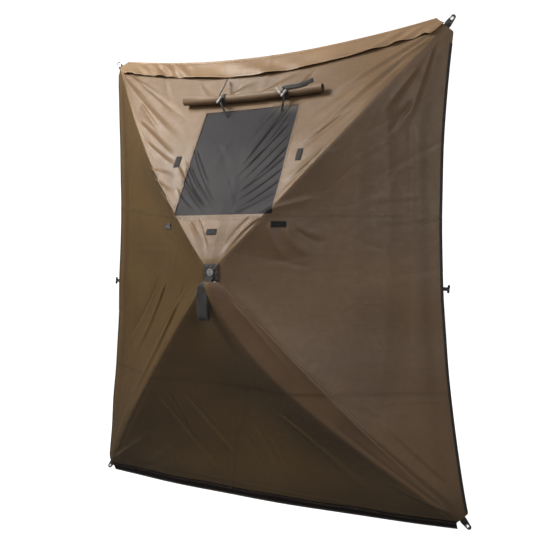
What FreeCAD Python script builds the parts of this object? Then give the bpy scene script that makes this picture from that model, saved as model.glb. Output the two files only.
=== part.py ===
"""One wall of a hub blind: a cloth pyramid stretched over four bowed poles that fold at a hub.

Frame: +X to the right, -Y out of the blind, +Z up. The origin lies at floor level, under the
middle of the wall's bounding box. Every length is in millimetres and every angle in degrees.
"""
import FreeCAD, Part
import math
import os

Vector = FreeCAD.Vector

# Driving dimensions of the wall.
CORNER_HEIGHT = 1700.0        # from the floor to the upper corners
TOP_WIDTH = 1395.0            # between the upper corners
BOTTOM_WIDTH = 1530.0         # between the lower corners
HUB_HEIGHT = 855.0            # hub centre above the floor
HUB_REACH = 395.0             # how far the cloth's peak stands out of the corner plane
CORNER_PLANE_Y = 201.0        # y of the plane through the four corners
TOP_SAG = 68.0                # dip of the top edge at its middle
SIDE_BOW = 62.0               # inward bow of each side edge at its middle
PEAK_FLAT = 0.05              # share of the way from the hub that the cloth lies flat over it
CREASE_BOW = 35.0             # how far the bent poles push the cloth outwards
CLOTH_BOTTOM = 12.0           # height of the cloth's lower edge above the floor
CLOTH_THICKNESS = 2.0
HALVES_GAP = 0.5              # half the gap between cloth halves on neighbouring poles

# Window, rolled cover and cloth trim.
WINDOW_WIDTH = 380.0
WINDOW_BOTTOM = 1045.0
WINDOW_TOP = 1431.0
FILM_LAP = 10.0
FILM_THICKNESS = 1.0
FILM_GAP = 6.0
FILM_CORNER = 15.0            # cut off the film's lower outer corners, beside the creases
COVER_LENGTH = 556.0
COVER_RADIUS = 17.0
COVER_HEIGHT = 1478.0
TIE_PLACES = {-1: -118.0, 1: 135.0}     # x of the left and right tie
TIE_WIDTH = 14.0
TIE_THICKNESS = 1.6
TOGGLE_RADIUS = 4.0
TOGGLE_LENGTH = 28.0
HEADER_DEPTH = 70.0
HEADER_THICKNESS = 2.5
HEADER_GAP = 4.0
HEADER_TAPER = 0.917          # lower edge against top edge, where the creases cut the flap off
SKIRT_HEIGHT = 34.0
SKIRT_FLARE = 60.0            # how far the hem's middle stands out of the corner plane
BINDING_WIDTH = 20.0
TRIM_THICKNESS = 1.6
TRIM_GAP = 0.6
PAD_SHORT = 20.0
PAD_LONG = 42.0
PAD_THICKNESS = 3.0
LOWER_PAD_PLACES = {-1: -250.0, 1: 204.0}   # x of the outer level pads

# Poles and their fittings.
ROD_RADIUS = 5.5
PIVOT_RADIUS = 38.0           # hub axis to each hinge pin
PIVOT_DEPTH = 22.0            # hinge pins behind the cloth's peak
POLE_OFFSET = 18.0            # rod's centre line behind the crease
PIN_RADIUS = 2.0
PIN_CLEARANCE = 0.06
EYE_RADIUS = 7.0
EYE_THICKNESS = 8.0
EYE_REACH = 16.0              # pin to the start of the ferrule
FERRULE_RADIUS = 7.5
FERRULE_BORE = 6.0
FERRULE_LENGTH = 60.0
CAP_RADIUS = 8.0
CAP_BORE = 5.7
CAP_LENGTH = 34.0
CAP_END = 6.0
CORNER_MARGIN = 4.0           # the webbing tab's end to the wall's corner
SLEEVE_BORE = 8.6
SLEEVE_RADIUS = 11.0
SLEEVE_LENGTH = 60.0
TAB_LENGTH = 44.0
TAB_WIDTH = 26.0
TAB_TIP_RADIUS = 9.0
TAB_THICKNESS = 4.0
EYELET_BORE = 4.0
EYELET_RADIUS = 7.5
EYELET_INSET = 14.0           # eyelet centre to the end of the tab

# Hub.
HUB_FRONT_DEPTH = 7.5         # hub's front face behind the cloth's peak
HUB_BODY_DEPTH = 24.0
HUB_CORE_RADIUS = 31.0
ARM_WIDTH = 24.0
ARM_END_RADIUS = 9.5
SLOT_WIDTH = 8.6
SLOT_FLOOR = 5.0
HUB_CAP_RADIUS = 25.0
HUB_CAP_DEPTH = 6.0
SCREW_CIRCLE = 18.0
SCREW_HEAD_RADIUS = 3.5
SCREW_HEAD_DEPTH = 2.2
HUB_EYE_BORE = 6.5
HUB_EYE_BARREL = 7.6
HUB_EYE_FLANGE = 12.0
FLANGE_THICKNESS = 2.0
HUB_BORE = 7.8
PATCH_WIDTH = 57.0
PATCH_THICKNESS = 2.0
PATCH_GAP = 2.5                # patch off the cloth, which it is sewn down to

# Pull strap.
STRAP_WIDTH = 38.0
STRAP_THICKNESS = 2.2
STRAP_LOOP_GAP = 12.0
STRAP_OFFSET = 26.0           # strap's centre line left of the hub
STRAP_HINGE_DROP = 18.0       # hub centre to the fold the strap swings about
STRAP_SHOULDER_DROP = 56.0    # hub centre to the top of the strap's loop
STRAP_BOTTOM_DROP = 158.0     # hub centre to the bottom of the loop
ANCHOR_WIDTH = 30.0
ANCHOR_GAP = 2.0              # between the anchor and the top of the swinging neck
BUCKLE_WIRE = 1.6
BUCKLE_HEIGHT = 13.0

# Side toggles.
SIDE_TOGGLE_HEIGHT = 800.0
SIDE_TAPE_WIDTH = 12.0
SIDE_TAPE_LENGTH = 26.0

GRID_ACROSS = 7
GRID_ALONG = 9
GRID_FINE = 13
PEAK_Y = CORNER_PLANE_Y - HUB_REACH
HUB = Vector(0, PEAK_Y, HUB_HEIGHT)
SIDE_SLOPE = (BOTTOM_WIDTH - TOP_WIDTH) / 2 / CORNER_HEIGHT
SIDE_REACH = BOTTOM_WIDTH / 2 - SIDE_SLOPE * HUB_HEIGHT
Y_AXIS = Vector(0, 1, 0)
OUTWARDS = Vector(0, -1, 0)

CORNERS = {
    "upper_left": (-TOP_WIDTH / 2, CORNER_HEIGHT),
    "upper_right": (TOP_WIDTH / 2, CORNER_HEIGHT),
    "lower_left": (-BOTTOM_WIDTH / 2, 0.0),
    "lower_right": (BOTTOM_WIDTH / 2, 0.0),
}


def save(shape, node):
    """Write one sub-part and report its volume."""
    shape.exportStep("parts/%s.step" % node)
    print("%-28s %10.0f mm3  valid %s" % (node, shape.Volume, shape.isValid()))


def facet_shares(x, z):
    """How far a point lies from the hub to the edge, measured on the side and on the top or bottom."""
    side = (abs(x) + SIDE_SLOPE * (z - HUB_HEIGHT)) / SIDE_REACH
    if z >= HUB_HEIGHT:
        return side, (z - HUB_HEIGHT) / (CORNER_HEIGHT - HUB_HEIGHT)
    return side, (HUB_HEIGHT - z) / HUB_HEIGHT


def cloth_y(x, z):
    """Front face of the cloth: a four-sided pyramid, bowed out along its creases and at its hem."""
    side, upright = facet_shares(x, z)
    far = max(side, upright, PEAK_FLAT)
    share = (far - PEAK_FLAT) / (1 - PEAK_FLAT)
    nearness = max(min(side, upright) / far, 0.0)
    bow = CREASE_BOW * 4 * share * (1 - share) * nearness ** 3
    flare = 0.0
    if z < HUB_HEIGHT:
        level = 1 - (x / (BOTTOM_WIDTH / 2)) ** 2
        flare = SKIRT_FLARE * max(level, 0.0) * max(upright, 0.0) ** 3
    return CORNER_PLANE_Y - HUB_REACH * (1 - share) - bow - flare


def top_edge_z(x):
    """Height of the top edge, which hangs as a shallow parabola between the upper corners."""
    return CORNER_HEIGHT - TOP_SAG * (1 - (x / (TOP_WIDTH / 2)) ** 2)


def side_edge_x(z):
    """Distance of the side edge from the middle, bowed inwards as a parabola between the corners."""
    share = z / CORNER_HEIGHT
    return BOTTOM_WIDTH / 2 - SIDE_SLOPE * z - SIDE_BOW * 4 * share * (1 - share)


def steps(first, last, count):
    """Evenly spaced numbers from first to last."""
    return [first + (last - first) * i / (count - 1) for i in range(count)]


def cloth_solid(rows, thickness, front=0.0):
    """Closed sheet through rows of (x, z) points on the cloth, its front face moved out by front."""
    points = [[Vector(x, cloth_y(x, z) - front, z) for x, z in row] for row in rows]
    surface = Part.BSplineSurface()
    surface.interpolate(points)
    return surface.toShape().extrude(Vector(0, thickness, 0))


def edge_points(corner, facet):
    """Outer edge of one half facet, from the pole's corner to the facet's middle."""
    x, z = CORNERS[corner]
    side = math.copysign(1.0, x)
    if facet == "top":
        return [(v, top_edge_z(v)) for v in steps(x, side * HALVES_GAP, GRID_ACROSS)]
    crease_foot = x * (1 - CLOTH_BOTTOM / HUB_HEIGHT)
    if facet == "bottom":
        return [(v, CLOTH_BOTTOM) for v in steps(crease_foot, side * HALVES_GAP, GRID_ACROSS)]
    end = HUB_HEIGHT + math.copysign(HALVES_GAP, z - HUB_HEIGHT)
    edge = [(side * side_edge_x(v), v) for v in steps(max(z, CLOTH_BOTTOM), end, GRID_ACROSS)]
    if z < HUB_HEIGHT:
        edge[0] = (crease_foot, CLOTH_BOTTOM)
    return edge


def gore(corner, facet):
    """Half facet of cloth: from the pole's crease to the middle of the facet."""
    inner = PATCH_WIDTH / 2 / SIDE_REACH
    rows = []
    for share in steps(inner, 1.0, GRID_ALONG):
        row = [(x * share, HUB_HEIGHT + (z - HUB_HEIGHT) * share) for x, z in edge_points(corner, facet)]
        rows.append(row)
    shape = cloth_solid(rows, CLOTH_THICKNESS).cut(corner_space(corner))
    if corner.startswith("upper"):
        opening = Part.makeBox(WINDOW_WIDTH, 2 * HUB_REACH, WINDOW_TOP - WINDOW_BOTTOM)
        opening.translate(Vector(-WINDOW_WIDTH / 2, PEAK_Y - HUB_REACH, WINDOW_BOTTOM))
        shape = shape.cut(opening)
    return shape


def corner_space(corner):
    """Space at the wall's corner that cloth and trim leave to the webbing tab."""
    start = corner_radius(corner) - CORNER_MARGIN - TAB_LENGTH
    block = Part.makeBox(HUB_REACH, 2 * HUB_REACH, 2 * HUB_REACH, Vector(start, -HUB_REACH, -HUB_REACH))
    return place(block, corner)


def strip(points, inner_points, thickness, front):
    """Band of trim between two lines of (x, z) points on the cloth."""
    middle = [((a[0] + b[0]) / 2, (a[1] + b[1]) / 2) for a, b in zip(points, inner_points)]
    return cloth_solid([points, middle, inner_points], thickness, front)


def header(side):
    """Half of the flap that hangs from the top edge in front of the cloth."""
    xs = steps(side * TOP_WIDTH / 2, side * HALVES_GAP, GRID_ACROSS)
    top = [(x, top_edge_z(x)) for x in xs]
    low = [(x * HEADER_TAPER, top_edge_z(x) - HEADER_DEPTH) for x in xs]
    flap = strip(top, low, HEADER_THICKNESS, HEADER_THICKNESS + HEADER_GAP)
    return flap.cut(corner_space("upper_left" if side < 0 else "upper_right"))


def skirt(side):
    """Half of the dark hem strip along the floor."""
    outer = BOTTOM_WIDTH / 2 - TAB_LENGTH
    xs = steps(side * outer, side * HALVES_GAP, GRID_ACROSS)
    top = [(x, SKIRT_HEIGHT) for x in xs]
    low = [(x, 0.0) for x in xs]
    return strip(top, low, TRIM_THICKNESS, TRIM_THICKNESS + TRIM_GAP)


def binding(corner):
    """Tape along the outer edge of a side, from the corner to the middle of the side."""
    x, z = CORNERS[corner]
    side = math.copysign(1.0, x)
    away = HEADER_DEPTH + TAB_WIDTH if z > HUB_HEIGHT else -SKIRT_HEIGHT - TAB_WIDTH
    end = HUB_HEIGHT + math.copysign(HALVES_GAP, z - HUB_HEIGHT)
    zs = steps(z - away, end, GRID_ACROSS)
    outer = [(side * side_edge_x(v), v) for v in zs]
    inner = [(side * (side_edge_x(v) - BINDING_WIDTH), v) for v in zs]
    return strip(outer, inner, TRIM_THICKNESS, TRIM_THICKNESS + TRIM_GAP)


def window_film(side):
    """Half of the window film, lapped behind the cloth all round the opening."""
    xs = steps(side * (WINDOW_WIDTH / 2 + FILM_LAP), side * HALVES_GAP, GRID_FINE)
    zs = steps(WINDOW_BOTTOM - FILM_LAP, WINDOW_TOP + FILM_LAP, GRID_FINE)
    rows = [[(x, z) for x in xs] for z in zs]
    film = cloth_solid(rows, FILM_THICKNESS, -CLOTH_THICKNESS - FILM_GAP)
    tip = Vector(side * (WINDOW_WIDTH / 2 + FILM_LAP), -HUB_REACH, WINDOW_BOTTOM - FILM_LAP)
    triangle = [tip, tip - Vector(side * FILM_CORNER, 0, 0), tip + Vector(0, 0, FILM_CORNER), tip]
    return film.cut(Part.Face(Part.makePolygon(triangle)).extrude(Vector(0, 2 * HUB_REACH, 0)))


def cover_centre():
    """Axis height and depth of the rolled cover, clear of the cloth along its whole length."""
    front = min(cloth_y(x, COVER_HEIGHT - COVER_RADIUS) for x in steps(0.0, COVER_LENGTH / 2, GRID_ACROSS))
    return front - COVER_RADIUS - TIE_THICKNESS - TRIM_GAP


def rolled_cover(side):
    """Half of the rolled-up window cover."""
    length = COVER_LENGTH / 2 - HALVES_GAP
    start = Vector(side * HALVES_GAP, cover_centre(), COVER_HEIGHT)
    return Part.makeCylinder(COVER_RADIUS, length, start, Vector(side, 0, 0))


def cover_tie(side):
    """Tape that holds the rolled cover, with the tail that hangs below it."""
    radius = COVER_RADIUS + 0.2
    start = Vector(TIE_PLACES[side] - TIE_WIDTH / 2, cover_centre(), COVER_HEIGHT)
    outer = Part.makeCylinder(radius + TIE_THICKNESS, TIE_WIDTH, start, Vector(1, 0, 0))
    inner = Part.makeCylinder(radius, TIE_WIDTH, start, Vector(1, 0, 0))
    tail = Part.makeBox(TIE_WIDTH, TIE_THICKNESS, 60.0)
    tail.translate(start + Vector(0, -radius - TIE_THICKNESS, -60.0 - 4.0))
    return outer.fuse(tail).cut(inner)


def tie_toggle(side):
    """Bar toggle that hangs at the front of the cover tie."""
    y = cover_centre() - COVER_RADIUS - 2 * TIE_THICKNESS - TOGGLE_RADIUS - TRIM_GAP
    start = Vector(TIE_PLACES[side], y, COVER_HEIGHT - TOGGLE_LENGTH)
    bar = Part.makeCylinder(TOGGLE_RADIUS, TOGGLE_LENGTH, start)
    return bar.makeFillet(1.5, bar.Edges)


def pad(x, z, width, height):
    """Hook-and-loop pad sewn on the cloth."""
    xs = steps(x - width / 2, x + width / 2, 3)
    zs = steps(z - height / 2, z + height / 2, 3)
    rows = [[(a, b) for a in xs] for b in zs]
    return cloth_solid(rows, PAD_THICKNESS, PAD_THICKNESS + TRIM_GAP)


def side_toggle(side):
    """Short tape with a bar toggle at the middle of a side edge."""
    z = SIDE_TOGGLE_HEIGHT
    edge = side_edge_x(z)
    y = cloth_y(edge, z) + CLOTH_THICKNESS + TRIM_GAP
    tape = Part.makeBox(SIDE_TAPE_LENGTH, TRIM_THICKNESS, SIDE_TAPE_WIDTH)
    tape.translate(Vector(edge - 12.0, y, z - SIDE_TAPE_WIDTH / 2))
    bar_x = edge - 12.0 + SIDE_TAPE_LENGTH + TOGGLE_RADIUS - 0.5
    start = Vector(bar_x, y + TRIM_THICKNESS / 2, z - TOGGLE_LENGTH / 2)
    bar = Part.makeCylinder(TOGGLE_RADIUS, TOGGLE_LENGTH, start)
    shape = tape.fuse(bar)
    if side < 0:
        shape = shape.mirror(Vector(0, 0, 0), Vector(1, 0, 0))
    return shape


def corner_radius(corner):
    """Distance of a corner from the hub axis."""
    x, z = CORNERS[corner]
    return math.hypot(x, z - HUB_HEIGHT)


def place(shape, corner):
    """Turn a shape built along +X from the hub axis so that it points at its corner."""
    x, z = CORNERS[corner]
    turned = shape.copy()
    turned.rotate(Vector(0, 0, 0), Y_AXIS, -math.degrees(math.atan2(z - HUB_HEIGHT, x)))
    turned.translate(Vector(0, 0, HUB_HEIGHT))
    return turned


def crease_y(share):
    """Depth of the crease at a share of the way from the hub to the corner."""
    return CORNER_PLANE_Y - HUB_REACH * (1 - share) - CREASE_BOW * 4 * share * (1 - share)


def pole_arc(corner):
    """Centre line of a bent pole, from its hinge pin to its tip, built along +X."""
    reach = corner_radius(corner)
    tip = reach - CORNER_MARGIN - TAB_LENGTH
    middle = (PIVOT_RADIUS + tip) / 2
    start = Vector(PIVOT_RADIUS, PEAK_Y + PIVOT_DEPTH, 0)
    through = Vector(middle, crease_y(middle / reach) + POLE_OFFSET, 0)
    end = Vector(tip, crease_y(tip / reach) + POLE_OFFSET, 0)
    return Part.Arc(start, through, end)


def part_of_arc(arc, start, end):
    """Edge along an arc between two distances from its start; a negative end counts from the tip."""
    whole = arc.toShape()
    per_mm = (arc.LastParameter - arc.FirstParameter) / whole.Length
    if end <= 0:
        end += whole.Length
    return arc.toShape(arc.FirstParameter + start * per_mm, arc.FirstParameter + end * per_mm)


def pole_rod(corner):
    """Solid glass-fibre rod, bent by the cloth's tension."""
    path = part_of_arc(pole_arc(corner), EYE_REACH + 1.0, -1.0)
    start = path.valueAt(path.FirstParameter)
    circle = Part.makeCircle(ROD_RADIUS, start, path.tangentAt(path.FirstParameter))
    rod = Part.Wire([path]).makePipeShell([Part.Wire([circle])], True, True)
    return place(rod, corner)


def pole_eye(corner):
    """Metal end of a pole: a flattened eye on the hinge pin and a ferrule over the rod."""
    arc = pole_arc(corner)
    whole = arc.toShape()
    pin = whole.valueAt(whole.FirstParameter)
    along = whole.tangentAt(whole.FirstParameter)
    across = Vector(-along.y, along.x, 0)
    half = Vector(0, 0, EYE_THICKNESS / 2)
    eye = Part.makeCylinder(EYE_RADIUS, EYE_THICKNESS, pin - half)
    outline = [
        pin - half + across * EYE_RADIUS,
        pin - half + across * EYE_RADIUS + along * (EYE_REACH + 2.0),
        pin - half - across * EYE_RADIUS + along * (EYE_REACH + 2.0),
        pin - half - across * EYE_RADIUS,
    ]
    neck = Part.Face(Part.makePolygon(outline + outline[:1])).extrude(2 * half)
    ferrule = Part.makeCylinder(FERRULE_RADIUS, FERRULE_LENGTH, pin + along * EYE_REACH, along)
    bore = Part.makeCylinder(FERRULE_BORE, FERRULE_LENGTH, pin + along * (EYE_REACH + 0.5), along)
    hole = Part.makeCylinder(PIN_RADIUS + PIN_CLEARANCE, 2 * EYE_THICKNESS, pin - 2 * half)
    shape = eye.fuse([neck, ferrule]).cut([bore, hole]).removeSplitter()
    return place(shape, corner)


def tip_of(corner):
    """End of a pole's centre line and its direction there, built along +X."""
    whole = pole_arc(corner).toShape()
    return whole.valueAt(whole.LastParameter), whole.tangentAt(whole.LastParameter)


def pole_cap(corner):
    """Moulded cap on the pole's tip."""
    tip, along = tip_of(corner)
    foot = tip + along * (CAP_END - CAP_LENGTH)
    body = Part.makeCylinder(CAP_RADIUS, CAP_LENGTH, foot, along)
    rim = [e for e in body.Edges if (e.CenterOfMass - tip - along * CAP_END).Length < 0.1]
    body = body.makeFillet(2.5, rim)
    bore = Part.makeCylinder(CAP_BORE, CAP_LENGTH - CAP_END, foot, along)
    return place(body.cut(bore), corner)


def corner_pocket(corner):
    """Webbing sleeve round the pole's cap, ending in a flat pointed tab with an eyelet hole."""
    tip, along = tip_of(corner)
    reach = corner_radius(corner) - CORNER_MARGIN
    foot = tip + along * (CAP_END + 1.0 - SLEEVE_LENGTH)
    sleeve = Part.makeCylinder(SLEEVE_RADIUS, SLEEVE_LENGTH + 2.0, foot, along)
    bore = Part.makeCylinder(SLEEVE_BORE, SLEEVE_LENGTH, foot, along)
    end = reach - TAB_TIP_RADIUS
    start = tip.x + CAP_END
    base = tip.y - TAB_THICKNESS / 2
    outline = [
        Vector(start, base, -TAB_WIDTH / 2),
        Vector(end, base, -TAB_TIP_RADIUS),
        Vector(end, base, TAB_TIP_RADIUS),
        Vector(start, base, TAB_WIDTH / 2),
    ]
    tab = Part.Face(Part.makePolygon(outline + outline[:1])).extrude(Vector(0, TAB_THICKNESS, 0))
    nose = Part.makeCylinder(TAB_TIP_RADIUS, TAB_THICKNESS, Vector(end, base, 0), Y_AXIS)
    hole = Part.makeCylinder(EYELET_RADIUS - 2.0, 4 * TAB_THICKNESS, eyelet_centre(corner, -8.0), Y_AXIS)
    shape = sleeve.fuse([tab, nose]).cut([bore, hole]).removeSplitter()
    return place(shape, corner)


def eyelet_centre(corner, shift):
    """Centre of the corner eyelet, built along +X and moved by shift along +Y."""
    tip, _ = tip_of(corner)
    return Vector(corner_radius(corner) - CORNER_MARGIN - EYELET_INSET, tip.y + shift, 0)


def corner_eyelet(corner):
    """Metal eyelet in the corner tab: a barrel with a flange on each side."""
    half = TAB_THICKNESS / 2
    flange = 1.0
    barrel = EYELET_RADIUS - 2.05
    foot = eyelet_centre(corner, -half - flange)
    far = eyelet_centre(corner, half)
    shape = Part.makeCylinder(barrel, 2 * (half + flange), foot, Y_AXIS)
    front = Part.makeCylinder(EYELET_RADIUS, flange, foot, Y_AXIS)
    back = Part.makeCylinder(EYELET_RADIUS, flange, far, Y_AXIS)
    bore = Part.makeCylinder(EYELET_BORE, 2 * (half + flange), foot, Y_AXIS)
    return place(shape.fuse([front, back]).cut(bore).removeSplitter(), corner)


def on_hub(depth, x=0.0, z=0.0):
    """Point at a depth behind the cloth's peak, x and z from the hub axis."""
    return Vector(x, PEAK_Y + depth, HUB_HEIGHT + z)


def hub_arm(corner):
    """One arm of the hub, with rounded end, built along +X then turned to its corner."""
    front = PEAK_Y + HUB_FRONT_DEPTH
    block = Part.makeBox(PIVOT_RADIUS, HUB_BODY_DEPTH, ARM_WIDTH, Vector(0, front, -ARM_WIDTH / 2))
    pivot = Vector(PIVOT_RADIUS, PEAK_Y + PIVOT_DEPTH, -ARM_WIDTH / 2)
    end = Part.makeCylinder(ARM_END_RADIUS, ARM_WIDTH, pivot)
    foot = Part.makeBox(
        ARM_END_RADIUS, PIVOT_DEPTH - HUB_FRONT_DEPTH, ARM_WIDTH, Vector(PIVOT_RADIUS, front, -ARM_WIDTH / 2)
    )
    return place(block.fuse([end, foot]), corner)


def hub_slot(corner):
    """Space that a pole's eye swings in, open outwards and to the back."""
    inner = PIVOT_RADIUS - EYE_RADIUS - 1.5
    floor = PEAK_Y + HUB_FRONT_DEPTH + SLOT_FLOOR
    slot = Part.makeBox(3 * ARM_WIDTH, 3 * HUB_BODY_DEPTH, SLOT_WIDTH, Vector(inner, floor, -SLOT_WIDTH / 2))
    return place(slot, corner)


def pin_cylinder(corner, radius, length):
    """Cylinder on a pole's fold axis."""
    foot = Vector(PIVOT_RADIUS, PEAK_Y + PIVOT_DEPTH, -length / 2)
    return place(Part.makeCylinder(radius, length, foot), corner)


def hub_body():
    """Moulded hub: a round core with four slotted arms."""
    core = Part.makeCylinder(HUB_CORE_RADIUS, HUB_BODY_DEPTH, on_hub(HUB_FRONT_DEPTH), Y_AXIS)
    core = core.makeFillet(2.0, [e for e in core.Edges if e.Curve.TypeId == "Part::GeomCircle"])
    body = core.fuse([hub_arm(corner) for corner in CORNERS])
    cuts = [hub_slot(corner) for corner in CORNERS]
    cuts += [pin_cylinder(corner, PIN_RADIUS, 2 * ARM_WIDTH) for corner in CORNERS]
    cuts.append(Part.makeCylinder(HUB_BORE, 3 * HUB_BODY_DEPTH, on_hub(0.0), Y_AXIS))
    return body.cut(cuts).removeSplitter()


def hinge_pins():
    """The four pins that the poles fold on."""
    return Part.makeCompound([pin_cylinder(corner, PIN_RADIUS, ARM_WIDTH) for corner in CORNERS])


def hub_back_depth():
    """Depth of the hub body's back face behind the cloth's peak."""
    return HUB_FRONT_DEPTH + HUB_BODY_DEPTH


def screw_places():
    """The four cap screws, between the arms."""
    for quarter in range(4):
        angle = math.radians(90 * quarter)
        yield SCREW_CIRCLE * math.cos(angle), SCREW_CIRCLE * math.sin(angle)


def hub_back_cap():
    """Round cover on the back of the hub."""
    cap = Part.makeCylinder(HUB_CAP_RADIUS, HUB_CAP_DEPTH, on_hub(hub_back_depth()), Y_AXIS)
    back = [e for e in cap.Edges if abs(e.CenterOfMass.y - PEAK_Y - hub_back_depth() - HUB_CAP_DEPTH) < 0.1]
    cap = cap.makeFillet(2.5, back)
    return cap.cut(Part.makeCylinder(HUB_BORE, 3 * HUB_CAP_DEPTH, on_hub(hub_back_depth() - 5.0), Y_AXIS))


def cap_screws():
    """Four pan-head screws that hold the cap."""
    heads = []
    for x, z in screw_places():
        foot = on_hub(hub_back_depth() + HUB_CAP_DEPTH, x, z)
        head = Part.makeCylinder(SCREW_HEAD_RADIUS, SCREW_HEAD_DEPTH, foot, Y_AXIS)
        rim = [e for e in head.Edges if abs(e.CenterOfMass.y - foot.y - SCREW_HEAD_DEPTH) < 0.1]
        head = head.makeFillet(1.0, rim)
        slot = Part.makeBox(2 * SCREW_HEAD_RADIUS, 2.0, 1.0, foot + Vector(-SCREW_HEAD_RADIUS, 1.2, -0.5))
        heads.append(head.cut(slot))
    return Part.makeCompound(heads)


def hub_patch():
    """Square reinforcement over the cloth's peak, drawn back a little at its corners."""
    half = PATCH_WIDTH / 2
    marks = steps(-half, half, 5)
    droop = 0.0015
    rows = []
    for z in marks:
        rows.append([on_hub(droop * (x * x + z * z) - PATCH_THICKNESS - PATCH_GAP, x, z) for x in marks])
    surface = Part.BSplineSurface()
    surface.interpolate(rows)
    patch = surface.toShape().extrude(Vector(0, PATCH_THICKNESS, 0))
    return patch.cut(Part.makeCylinder(HUB_BORE, 4 * PATCH_THICKNESS, on_hub(-8.0), Y_AXIS))


def flange_depth():
    """Depth of the hub eye's front flange, in front of the patch and the strap's anchor."""
    return -PATCH_THICKNESS - PATCH_GAP - STRAP_THICKNESS - FLANGE_THICKNESS - 0.2


def hub_eye():
    """Tubular eye through the patch, the hub and its cap, flanged at both ends."""
    front = flange_depth()
    back = hub_back_depth() + HUB_CAP_DEPTH
    length = back - front
    tube = Part.makeCylinder(HUB_EYE_BARREL, length + 1.2, on_hub(front), Y_AXIS)
    flange = Part.makeCylinder(HUB_EYE_FLANGE, FLANGE_THICKNESS, on_hub(front), Y_AXIS)
    flange = flange.makeFillet(0.8, [e for e in flange.Edges if e.Curve.TypeId == "Part::GeomCircle"])
    tail = Part.makeCylinder(HUB_EYE_BARREL + 2.4, 1.2, on_hub(back), Y_AXIS)
    bore = Part.makeCylinder(HUB_EYE_BORE, length + 4.0, on_hub(front - 1.0), Y_AXIS)
    return tube.fuse([flange, tail]).cut(bore).removeSplitter()


def strap_anchor():
    """Top of the pull strap, clamped under the hub eye's flange."""
    front = flange_depth() + FLANGE_THICKNESS + 0.1
    top = HUB_EYE_FLANGE - 1.0
    height = top + STRAP_HINGE_DROP - ANCHOR_GAP
    tab = Part.makeBox(ANCHOR_WIDTH, STRAP_THICKNESS, height)
    tab.translate(on_hub(front, -ANCHOR_WIDTH / 2, top - height))
    return tab.cut(Part.makeCylinder(HUB_BORE, 4 * STRAP_THICKNESS, on_hub(front - 3.0), Y_AXIS))


def strap_front_depth():
    """Depth of the strap's front face."""
    return flange_depth() - STRAP_LOOP_GAP / 2 - STRAP_THICKNESS + 2.0


def pull_strap():
    """Webbing handle: a slanting neck with a round top fold, and a hanging finger loop."""
    front = strap_front_depth()
    depth = STRAP_LOOP_GAP + 2 * STRAP_THICKNESS
    radius = depth / 2
    left = -STRAP_OFFSET - STRAP_WIDTH / 2
    right = -STRAP_OFFSET + STRAP_WIDTH / 2
    low = -STRAP_BOTTOM_DROP + radius
    neck_front = front + radius - STRAP_THICKNESS / 2
    neck_points = [
        on_hub(neck_front, -ANCHOR_WIDTH / 2, -STRAP_HINGE_DROP),
        on_hub(neck_front, ANCHOR_WIDTH / 2, -STRAP_HINGE_DROP),
        on_hub(neck_front, right, -STRAP_SHOULDER_DROP),
        on_hub(neck_front, left, -STRAP_SHOULDER_DROP),
    ]
    neck = Part.Face(Part.makePolygon(neck_points + neck_points[:1])).extrude(Vector(0, STRAP_THICKNESS, 0))
    fold_start = neck_points[0] + Vector(0, STRAP_THICKNESS / 2, 0)
    fold = Part.makeCylinder(STRAP_THICKNESS / 2, ANCHOR_WIDTH, fold_start, Vector(1, 0, 0))
    loop = Part.makeBox(STRAP_WIDTH, depth, -STRAP_SHOULDER_DROP - low)
    loop.translate(on_hub(front, left, low))
    gap = Part.makeBox(STRAP_WIDTH, STRAP_LOOP_GAP, -STRAP_SHOULDER_DROP - STRAP_THICKNESS - low)
    gap.translate(on_hub(front + STRAP_THICKNESS, left, low))
    bend = Part.makeCylinder(radius, STRAP_WIDTH, on_hub(front + radius, left, low), Vector(1, 0, 0))
    hollow = Part.makeCylinder(
        STRAP_LOOP_GAP / 2, STRAP_WIDTH, on_hub(front + radius, left, low), Vector(1, 0, 0)
    )
    return neck.fuse([fold, loop, bend]).cut([gap, hollow]).removeSplitter()


def strap_buckle():
    """Wire slider round the strap at the top of its loop."""
    front = strap_front_depth()
    inner = Vector(STRAP_WIDTH + 1.0, STRAP_LOOP_GAP + 2 * STRAP_THICKNESS + 1.0, BUCKLE_HEIGHT)
    wall = Vector(2 * BUCKLE_WIRE, 2 * BUCKLE_WIRE, 0)
    corner = on_hub(front - 0.5, -STRAP_OFFSET - inner.x / 2, -STRAP_SHOULDER_DROP - BUCKLE_HEIGHT - 3.0)
    frame = Part.makeBox(inner.x + wall.x, inner.y + wall.y, BUCKLE_HEIGHT)
    frame.translate(corner - Vector(BUCKLE_WIRE, BUCKLE_WIRE, 0))
    frame = frame.makeFillet(1.2, [e for e in frame.Edges if abs(e.tangentAt(e.FirstParameter).z) > 0.9])
    gap = Part.makeBox(inner.x, inner.y, BUCKLE_HEIGHT)
    gap.translate(corner)
    return frame.cut(gap)


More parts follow.
